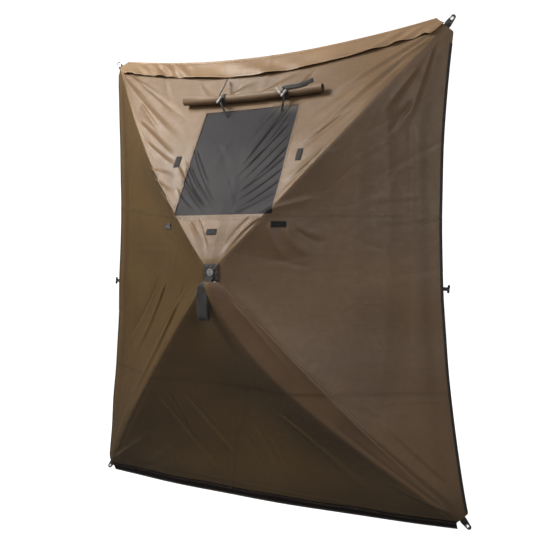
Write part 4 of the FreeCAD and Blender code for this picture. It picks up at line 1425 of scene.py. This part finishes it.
@dataclass
class CoverTie(HalfFacet):
    """Tie of the rolled cover: a band round the roll, a lead down from the header, a tail and a bar toggle."""

    def build(self) -> None:
        """Builds the tie from tapes, and the toggle as a turned bar."""
        end, side = self.corner.end, self.corner.side
        low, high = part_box("rolled_cover_" + end)
        centre_y, centre_z = (low.y + high.y) / 2, (low.z + high.z) / 2 - 0.0025
        tie_low, tie_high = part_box("cover_tie_" + end)
        middle = (tie_low.x + tie_high.x) / 2
        radius = (high.z - low.z) / 2 + 0.0014
        centre_y = centre_y + RolledCover.settle * (1 - 0.5 * (middle / 0.278) ** 2)
        turn = np.linspace(0, 2 * math.pi * 1.04, 56) - 1.2
        lean = 0.007 * np.sin(turn * 0.5)
        ring = np.stack([middle + lean, centre_y + radius * np.cos(turn), centre_z + radius * np.sin(turn)], -1)
        band = tape(ring, np.array([1.0, 0.0, 0.0]), 0.020 if side > 0 else 0.011, 0.0015)
        front = centre_y - radius - 0.0020
        top_x = middle + side * (0.112 if side > 0 else 0.014)
        top_z = centre_z + (0.030 if side > 0 else 0.084)
        top_y = front + 0.004 if side > 0 else float(self.cloth.y(np.array(top_x), np.array(top_z))) - 0.012
        halfway = (middle + (top_x - middle) * 0.55, (front + top_y) / 2 - 0.002, centre_z * 0.45 + top_z * 0.55)
        lead_points = [(middle, front, centre_z - 0.004), (middle + side * 0.006, front + 0.003, centre_z + 0.014),
                       halfway, (top_x, top_y, top_z)]
        wide = (0.015, 0.0040) if side > 0 else (0.006, 0.0024)
        lead = tape(smooth_path(lead_points, 40), np.array([0.3, 0.0, 1.0 if side > 0 else 0.2]), *wide)
        tail_x = middle + (0.026 if side < 0 else -0.012)
        tail_points = [(middle, front, centre_z), (middle + 0.004, front - 0.003, centre_z - 0.022),
                       ((middle + tail_x) / 2 + 0.003, front + 0.002, centre_z - 0.050),
                       (tail_x, front + 0.010, 1.400)]
        tail = tape(smooth_path(tail_points, 36), np.array([1.0, 0.25, 0.0]), 0.0075, 0.0016)
        data = band.joined(lead).joined(tail)
        tie = make_object("cover_tie_band_" + end, data, self.finishes["black_webbing"])
        self.attach(tie, "black_webbing", "cover_tie_" + end)
        bar = [(0.0, -0.0145), (0.0030, -0.0142), (0.0042, -0.0125), (0.0044, -0.0040), (0.0034, -0.0020),
               (0.0034, 0.0020), (0.0044, 0.0040), (0.0042, 0.0125), (0.0030, 0.0142), (0.0, 0.0145)]
        for k, (dx, dz, lean) in enumerate([(0.004, -0.006, 0.9), (-0.016, 0.004, -0.7)][: 1 if side < 0 else 2]):
            place = np.array([middle + dx * side, front - 0.0048, centre_z + dz])
            toggle = make_object(f"tie_toggle_bar_{end}_{k + 1}", lathe(bar, place, np.array([lean, 0.0, 1.0]), 20),
                                 self.finishes["toggle_plastic"])
            self.attach(toggle, "black_webbing", *(["tie_toggle_" + end] if k == 0 else []))


@dataclass
class Pad(HalfFacet):
    """Hook-and-loop pad sewn on the cloth."""

    node: str = ""

    def build(self) -> None:
        """Builds the pad over its place, with stitches round it."""
        low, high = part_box(self.node)
        strip = Strip(self.corner, self.facet, self.cloth, self.finishes)
        x = np.linspace(low.x, high.x, 28)
        full = np.ones_like(x)
        strip.lay(self.node + "_tape", (x, full * low.z), (x, full * high.z), "hook_pad", "hook_pad",
                  0.0030, 0.0026, [self.node], 28)
        inset = 0.0026
        left, right, down, up = low.x + inset, high.x - inset, low.z + inset, high.z - inset
        sides = [((left, down), (right, down)), ((right, down), (right, up)),
                 ((right, up), (left, up)), ((left, up), (left, down))]
        lines = [(np.linspace(a[0], b[0], 12), np.linspace(a[1], b[1], 12)) for a, b in sides]
        strip.sew(self.node + "_stitches", lines, 0.0030, "thread", "hook_pad")


@dataclass
class Trim(Strip):
    """Seams, hem strip and edge binding of one half facet."""

    def seam(self, name: str, x: Array, z: Array, width: float = 0.009) -> None:
        """A felled seam: a narrow raised tape of the same cloth with two rows of stitches."""
        finish = "cloth_" + (self.corner.end if self.facet is Facet.SIDE else self.facet.value)
        self.lay(f"seam_{name}", (x, z - width / 2), (x, z + width / 2), finish, "shell_cloth", 0.0008, 0.0006)
        rows = [(x, z - width * 0.28), (x, z + width * 0.28)]
        self.sew(f"seam_stitches_{name}", rows, 0.0009, "thread")

    def level_seam(self) -> None:
        """The seam across the half: under the window above the hub, at half height below it."""
        size, side = self.cloth.size, self.corner.side
        share = np.linspace(0, 1, 150)
        height = 1.040 if self.corner.level > 0 else 0.458
        rise = size.corner_height - size.hub_height if self.corner.level > 0 else -size.hub_height
        half = size.top_half if self.corner.level > 0 else size.bottom_half
        crease = side * half * (height - size.hub_height) / rise
        if self.facet is Facet.SIDE:
            edge = side * float(size.side_edge(np.array(height)))
            x = crease + (edge - crease) * (0.01 + 0.975 * share)
            lift = 0.050 if self.corner is Corner.UPPER_LEFT else 0.0
            z = height + lift * np.clip((np.abs(x) - abs(crease)) / 0.45, 0, None) ** 1.4
        else:
            x = crease * 0.985 * (1 - share)
            z = np.full_like(x, 1.031 if self.facet is Facet.TOP else height)
        self.seam(f"{self.facet.value}_{self.label}", x, z)

    def crease_stitches(self) -> None:
        """Two rows of stitches beside the crease, following its drift."""
        size = self.cloth.size
        direction, length = size.pole_line(self.corner)
        square = np.array([direction[1], -direction[0]]) * self.corner.side
        towards = 1.0 if self.facet is Facet.SIDE else -1.0
        if self.corner.level < 0:
            towards = towards * -1.0
        t = np.linspace(0.06, 0.93, 260) * length
        lines = []
        for away in (0.005, 0.012):
            x = t * direction[0] + square[0] * towards * away
            z = size.hub_height + t * direction[1] + square[1] * towards * away
            dx, dz = self.cloth.drift(x, z)
            lines.append((x + dx, z + dz))
        self.sew(f"crease_stitches_{self.facet.value}_{self.label}", lines, 0.0003, "thread")

    def hem(self) -> None:
        """Dark hem strip along the floor, its bound lower edge and the seam above it."""
        size, side, end = self.cloth.size, self.corner.side, self.corner.end
        low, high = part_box("floor_skirt_" + end)
        outer = max(abs(low.x), abs(high.x))
        x = side * outer * (1 - np.linspace(0, 1, 190))
        top = 0.038 - 0.010 * (x * 0.5 + 0.5) + 0.0015 * np.sin(x * 21)
        ripple = 0.0018 * np.sin(x * 47 + 2) + 0.0012 * np.sin(x * 113)
        upper, lower = (x, top), (x, 0.0006 + np.abs(ripple) * 0.5)
        skirt = self.lay("hem_strip_" + end, upper, lower, "cloth_skirt", "skirt_cloth", 0.0022, 0.0010,
                         ["floor_skirt_" + end], 12)
        "bottom_panel_" + end
        edge = (x, np.full_like(x, 0.0085))
        self.lay("hem_binding_" + end, edge, (x, np.full_like(x, 0.0004)), "black_webbing", "black_webbing",
                 0.0034, 0.0009, (), 7)
        self.sew("hem_stitches_" + end, [(x, top - 0.003), (x, top - 0.007), (x, np.full_like(x, 0.0070))], 0.0036,
                 "thread_pale", "skirt_cloth")
        line = 0.056 - 0.030 * (x / size.bottom_half) * 0.8
        inside = np.abs(x) < size.bottom_half * (1 - line.max() / size.hub_height) - 0.05
        self.seam("hem_" + end, x[inside], line[inside], 0.007)

    def binding(self) -> None:
        """Black tape folded over the side edge: a U section carried along the edge."""
        size, side = self.cloth.size, self.corner.side
        low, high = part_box("side_binding_" + self.corner.label)
        z = np.linspace(low.z, high.z, 220)[None, :]
        turn = np.linspace(0, math.pi, 15)[:, None]
        inwards = 0.0085 * (1 - np.sin(turn)) - 0.0010
        x, z = np.broadcast_arrays(side * (size.side_edge(z) - inwards), z)
        points, normals = self.cloth.points(x, z)
        middle = -CLOTH / 2
        lift = middle + (CLOTH / 2 + 0.0012) * np.cos(turn)
        points = points + normals * lift[..., None]
        outward = np.array([side * 1.0, 0.0, 0.0]) * np.sin(turn)[..., None]
        towards = surface_normals(points, normals * np.cos(turn)[..., None] + outward)
        run = z - z.min()
        uv = np.stack(np.broadcast_arrays(turn * 0.006, run), -1)
        data = shell(points, towards, 0.0007, None, None, uv)
        obj = make_object("edge_binding_" + self.corner.label, data, self.finishes["black_webbing"])
        self.attach(obj, "black_webbing", "side_binding_" + self.corner.label)

    def side_toggle(self) -> None:
        """Short tape with a bar toggle at the side's edge."""
        end, side = self.corner.end, self.corner.side
        node = "side_toggle_" + end
        low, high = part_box(node)
        z, y = (low.z + high.z) / 2, (low.y + high.y) / 2
        inner, outer = (low.x, high.x) if side > 0 else (high.x, low.x)
        middle = ((inner + outer) / 2, y - 0.001, z)
        path = smooth_path([(inner, y, z + 0.002), middle, (outer - side * 0.004, y, z)], 24)
        strap = tape(path, np.array([0.0, 0.0, 1.0]), 0.0125, 0.0018)
        bar = [(0.0, -0.0138), (0.0028, -0.0135), (0.0040, -0.0120), (0.0041, -0.0030), (0.0033, -0.0016),
               (0.0033, 0.0016), (0.0041, 0.0030), (0.0040, 0.0120), (0.0028, 0.0135), (0.0, 0.0138)]
        toggle = lathe(bar, np.array([outer - side * 0.0042, y, z]), np.array([0.12, 0.0, 1.0]), 20)
        made = make_object("side_toggle_tape_" + end, strap.joined(toggle), self.finishes["black_webbing"])
        self.attach(made, "black_webbing", node)


@dataclass
class CornerPouch:
    """Webbing pouch at a corner: the sleeve over the pole cap and the tab with its eyelet."""

    corner: Corner
    finishes: Finishes
    voxel: float = 0.0013

    def build(self) -> bpy.types.Object:
        """Makes the pouch from its CAD shape, with soft rounded edges like folded webbing."""
        node = "corner_pocket_" + self.corner.label
        source = bpy.data.objects[node]
        mesh = source.data.copy()
        work = bmesh.new()
        work.from_mesh(mesh)
        bmesh.ops.remove_doubles(work, verts=work.verts, dist=1e-5)
        work.to_mesh(mesh)
        work.free()
        draft = bpy.data.objects.new("draft", mesh)
        bpy.context.scene.collection.objects.link(draft)
        remesh = draft.modifiers.new("even", "REMESH")
        remesh.mode, remesh.voxel_size = "VOXEL", self.voxel
        soften = draft.modifiers.new("soft", "SMOOTH")
        soften.factor, soften.iterations = 0.6, 5
        graph = bpy.context.evaluated_depsgraph_get()
        done = bpy.data.meshes.new_from_object(draft.evaluated_get(graph))
        bpy.data.objects.remove(draft)
        done.materials.clear()
        done.materials.append(self.finishes["pouch_webbing_" + self.corner.label])
        done.polygons.foreach_set("use_smooth", np.ones(len(done.polygons), bool))
        pouch = bpy.data.objects.new("corner_pouch_" + self.corner.label, done)
        bpy.context.scene.collection.objects.link(pouch)
        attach(pouch, "pole_" + self.corner.label)
        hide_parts(node)
        LOG.info("%s: %d corners", pouch.name, len(done.vertices))
        return pouch


@dataclass
class HubTrim:
    """What is soft on the hub: the patch over the peak and the pull strap."""

    cloth: ClothField
    finishes: Finishes
    eye_radius: float = 0.0080
    strap_width: float = 0.038
    neck_width: float = 0.026
    strap_thickness: float = 0.0022

    def square_ring(self, half: float, rise: float, y: float, spread: int, sides: int,
                    dish: float) -> tuple[Array, Array]:
        """Points of a soft-cornered rectangle with a round hole: rings that morph from circle to superellipse.

        Args:
            half: half width.
            rise: half height.
            y: depth of its front.
            spread: rings from the hole to the edge.
            sides: points round each ring.
            dish: how far the edge bends back.

        Returns:
            Points and normals, rings by sides + 1 by 3, centred on the hub.
        """
        turn = np.linspace(0, 2 * math.pi, sides + 1)[None, :]
        share = np.linspace(0, 1, spread)[:, None]
        c, s = np.cos(turn), np.sin(turn)
        square = np.maximum(np.abs(c), np.abs(s)) * (1 - 0.06 * np.abs(np.sin(2 * turn)) ** 8)
        far_x, far_z = half * c / np.maximum(square, 0.6), rise * s / np.maximum(square, 0.6)
        x = self.eye_radius * c * (1 - share) + far_x * share
        z = self.cloth.size.hub_height + self.eye_radius * s * (1 - share) + far_z * share
        puff = 0.0007 * np.sin(x * 330 + 1.0) * np.sin(z * 290)
        depth = y + dish * share ** 3 * (1 + 0.8 * np.abs(np.sin(2 * turn)) ** 3) - puff * np.sin(math.pi * share)
        points = np.stack(np.broadcast_arrays(x, depth, z), -1)
        return points, surface_normals(points, np.array([0.0, -1.0, 0.0]))

    def patch(self) -> None:
        """Grey cloth patch with a boxed and crossed row of stitches."""
        low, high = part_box("hub_patch")
        half = (high.x - low.x) / 2
        points, normals = self.square_ring(half, half, low.y, 26, 128, 0.0022)
        numbers = {key: np.zeros(points.shape[:2]) for key in ("band", "turned", "dark_near_floor", "painted_side_light")}
        numbers["rubbed"] = np.zeros(points.shape[:2])
        data = shell(points, normals, 0.0014, None, numbers)
        piece = make_object("peak_patch", data, self.finishes["cloth_patch"])
        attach(piece, "hub")
        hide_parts("hub_patch")
        made = stitches(points[-4] + normals[-4] * 0.0002, normals[-4])
        made = made.joined(stitches(points[-6] + normals[-6] * 0.0002, normals[-6]))
        sewn = make_object("peak_patch_stitches", made, self.finishes["thread"], merge=False)
        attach(sewn, "hub")
        LOG.info("peak_patch and its stitches on hub")

    def strap(self) -> None:
        """Pull strap: a washer of webbing under the eye, a slanting neck, and a loop of two hanging layers."""
        anchor_low, anchor_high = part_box("strap_anchor")
        low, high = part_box("pull_strap")
        hub = self.cloth.size.hub_height
        plane = (anchor_low.y + anchor_high.y) / 2
        middle = low.x + self.strap_width / 2
        front, back = low.y + self.strap_thickness / 2, high.y - self.strap_thickness / 2
        points = [
            (0.0, plane, hub - 0.0086), (-0.0005, plane - 0.0003, hub - 0.0140),
            (-0.003, plane - 0.0012, hub - 0.0190),
            (-0.013, plane - 0.0030, hub - 0.036), (middle - 0.001, front + 0.0016, hub - 0.056),
            (middle - 0.001, front + 0.0005, hub - 0.080), (middle - 0.002, front + 0.0006, hub - 0.118),
            (middle + 0.000, front + 0.0012, hub - 0.146), (middle + 0.002, (front + back) / 2, low.z + 0.0016),
            (middle + 0.003, back - 0.0006, hub - 0.146), (middle + 0.003, back, hub - 0.112),
            (middle + 0.002, back - 0.0010, hub - 0.076), (middle + 0.001, back - 0.0030, hub - 0.058),
        ]
        path = smooth_path(points, 150)
        share = np.linspace(0, 1, len(path))
        width = self.neck_width + (self.strap_width - self.neck_width) * np.clip((share - 0.10) / 0.08, 0, 1)
        lean = np.stack([np.ones_like(share), 0.35 * hump(share, 0.24, 0.10) - 0.12 * np.sin(share * 9),
                         0.42 * hump(share, 0.11, 0.05)], -1)
        data = tape(path, lean, width, self.strap_thickness, 20)
        ring, normals = self.square_ring(self.neck_width / 2, 0.0112, anchor_low.y, 8, 64, 0.0)
        washer = shell(ring, normals, self.strap_thickness)
        flat = washer.verts
        uv = np.stack([flat[:, 0], flat[:, 2] - hub], -1)
        data = data.joined(MeshData(washer.verts, washer.quads, None, uv))
        strap = make_object("pull_strap_webbing", data, self.finishes["strap_webbing"])
        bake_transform(strap)
        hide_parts("strap_anchor", "pull_strap")
        LOG.info("pull_strap_webbing: %d corners, bends between hub and pull_strap", len(strap.data.vertices))

    def slider(self) -> None:
        """Wire slider on the strap: a soft-cornered rectangle of wire with a bar over its middle."""
        low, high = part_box("strap_buckle")
        wire = 0.0014
        half, rise = (high.x - low.x) / 2 - wire, (high.z - low.z) / 2 - wire
        centre = np.array([(low.x + high.x) / 2, (low.y + high.y) / 2, (low.z + high.z) / 2])
        turn = np.linspace(0, 2 * math.pi, 73)
        across = half * np.sign(np.cos(turn)) * np.abs(np.cos(turn)) ** 0.35
        up = rise * np.sign(np.sin(turn)) * np.abs(np.sin(turn)) ** 0.35
        ring = np.stack([across, np.zeros_like(turn), up], -1) + centre
        bar = np.stack([np.linspace(-half, half, 9), -0.0012 * np.ones(9), np.zeros(9)], -1) + centre
        data = tape(ring, np.array([0.0, 1.0, 0.0]), 2 * wire, 2 * wire, 10)
        data = data.joined(tape(bar, np.array([0.0, 1.0, 0.0]), 2 * wire, 2 * wire, 10))
        slider = make_object("strap_slider", data, self.finishes["bright_steel"])
        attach(slider, "pull_strap")
        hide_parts("strap_buckle")
        LOG.info("strap_slider on pull_strap")


@dataclass
class Hardware:
    """The hard CAD pieces that stay: each gets its finish."""

    finishes: Finishes
    finish_of: dict[str, str] = field(default_factory=lambda: {
        "pole_rod": "rod_fibre", "pole_eye": "ferrule_metal", "pole_cap": "hub_plastic",
        "corner_eyelet": "bright_steel", "hub_body": "hub_plastic", "hub_back_cap": "hub_plastic",
        "hinge_pins": "bright_steel", "cap_screws": "bright_steel", "hub_eye": "bright_steel",
    })

    def dress(self, nodes: dict[str, bpy.types.Object]) -> None:
        """Puts each finish on the nodes whose names start with its piece's name."""
        for name, obj in nodes.items():
            finish = next((f for start, f in self.finish_of.items() if name.startswith(start)), None)
            if finish is None or obj.hide_render:
                continue
            obj.data.materials.clear()
            obj.data.materials.append(self.finishes[finish])
            LOG.info("%s dressed in %s", name, finish)


# ---------------------------------------------------------------- studio


@dataclass
class Studio:
    """Pale floor and surround, soft lights and the camera."""

    eye: tuple[float, float, float] = (1.292, -2.248, 0.940)
    yaw: float = math.radians(27.24)
    pitch: float = math.radians(-2.21)
    lens: float = 48.41
    floor_half: float = 9.0

    def pale(self, name: str, colour: Colour, glow: float) -> bpy.types.Material:
        """Pale matt finish with faint clouds; glow lights it evenly."""
        board = Board(name)
        cloud = board.noise(board.object_place(), 0.8, 3.0)
        shade = board.mix(cloud * 0.15, colour, tinted(colour, 0.95))
        return board.dress(Base_Color=shade, Roughness=0.9, Specular_IOR_Level=0.1,
                           Emission_Color=shade, Emission_Strength=glow)

    def surround(self) -> None:
        """Floor at the wall's foot and a pale dome round it; neither throws light on the wall."""
        half = self.floor_half
        share = np.linspace(-half, half, 12)
        x, y = np.meshgrid(share, share)
        points = np.stack([x, y, np.full_like(x, -0.0005)], -1)
        data = MeshData(points.reshape(-1, 3), grid_quads(12, 12), None, None)
        floor = make_object("studio_floor", data, self.pale("pale_floor", (0.30, 0.30, 0.30), 3.30))
        arc = np.linspace(-math.pi / 2, math.pi / 2, 24)
        profile = [(12.0 * math.cos(a), 12.0 * math.sin(a)) for a in arc]
        dome_data = lathe(profile, np.array([0.0, 0.0, 0.0]), np.array([0.0, 0.0, 1.0]), 48)
        dome = make_object("studio_dome", dome_data, self.pale("pale_dome", (0.85, 0.85, 0.85), 1.20))
        for obj in (floor, dome):
            obj.visible_diffuse = False
            obj.visible_glossy = False
            obj.visible_shadow = False

    def area(self, name: str, place: tuple[float, float, float], aim: tuple[float, float, float], size: float,
             power: float, colour: Colour) -> None:
        """One soft area light aimed at a point."""
        light = bpy.data.lights.new(name, "AREA")
        light.size, light.energy, light.color = size, power, colour
        obj = bpy.data.objects.new(name, light)
        obj.location = place
        obj.rotation_euler = (Vector(aim) - Vector(place)).to_track_quat("-Z", "Y").to_euler()
        bpy.context.scene.collection.objects.link(obj)

    def lights(self) -> None:
        """A key high in front and to the left, weak fills from both sides, and a dim even sky."""
        self.area("key", (-1.35, -1.15, 2.75), (-0.2, 0.05, 1.25), 1.0, 80.0, (1.0, 0.975, 0.93))
        self.area("fill_left", (-3.4, -1.6, 2.2), (0.0, 0.1, 0.9), 2.0, 18.0, (1.0, 0.88, 0.66))
        self.area("fill_right", (3.2, -3.4, 2.4), (0.0, 0.1, 0.9), 2.4, 72.0, (1.0, 0.97, 0.93))
        self.area("back", (0.5, 3.6, 2.6), (0.0, 0.1, 0.9), 2.6, 70.0, (1.0, 1.0, 1.0))
        world = bpy.data.worlds.new("studio")
        world.use_nodes = True
        world.node_tree.nodes["Background"].inputs[0].default_value = (0.80, 0.82, 0.86, 1.0)
        world.node_tree.nodes["Background"].inputs[1].default_value = 0.16
        bpy.context.scene.world = world

    def camera(self) -> None:
        """The camera at standing height, right of the wall, a little turned to the left and down."""
        data = bpy.data.cameras.new("view")
        data.lens, data.sensor_width = self.lens, 36.0
        obj = bpy.data.objects.new("view", data)
        obj.location = self.eye
        forward = Vector((-math.sin(self.yaw) * math.cos(self.pitch), math.cos(self.yaw) * math.cos(self.pitch),
                          math.sin(self.pitch)))
        obj.rotation_euler = forward.to_track_quat("-Z", "Y").to_euler()
        bpy.context.scene.collection.objects.link(obj)
        bpy.context.scene.camera = obj

    def build(self) -> None:
        """Camera, surround and lights, with colours shown as they are."""
        self.camera()
        self.surround()
        self.lights()
        bpy.context.scene.view_settings.view_transform = "Standard"


def main() -> None:
    """Builds the wall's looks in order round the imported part."""
    logging.basicConfig(level=logging.INFO, format="%(name)s %(message)s")
    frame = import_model()
    Studio().build()
    finishes = Finishes()
    cloth = ClothField()
    for corner in Corner:
        middle = Facet.TOP if corner.level > 0 else Facet.BOTTOM
        for facet in (Facet.SIDE, middle):
            Panel(corner, facet, cloth, finishes).build()
            trim = Trim(corner, facet, cloth, finishes)
            trim.level_seam()
            trim.crease_stitches()
        Trim(corner, Facet.SIDE, cloth, finishes).binding()
        CornerPouch(corner, finishes).build()
        if corner.level > 0:
            Header(corner, Facet.TOP, cloth, finishes).build()
            Window(corner, Facet.TOP, cloth, finishes).build()
            RolledCover(corner, Facet.TOP, cloth, finishes).build()
            CoverTie(corner, Facet.TOP, cloth, finishes).build()
            Pad(corner, Facet.TOP, cloth, finishes, "upper_pad_" + corner.end).build()
            Pad(corner, Facet.SIDE, cloth, finishes, "lower_pad_" + corner.end).build()
        else:
            Trim(corner, Facet.BOTTOM, cloth, finishes).hem()
            Trim(corner, Facet.SIDE, cloth, finishes).side_toggle()
    Pad(Corner.UPPER_LEFT, Facet.TOP, cloth, finishes, "lower_pad_centre").build()
    hub = HubTrim(cloth, finishes)
    hub.patch()
    hub.strap()
    hub.slider()
    Hardware(finishes).dress(frame["nodes"])


if __name__ == "__main__":
    main()
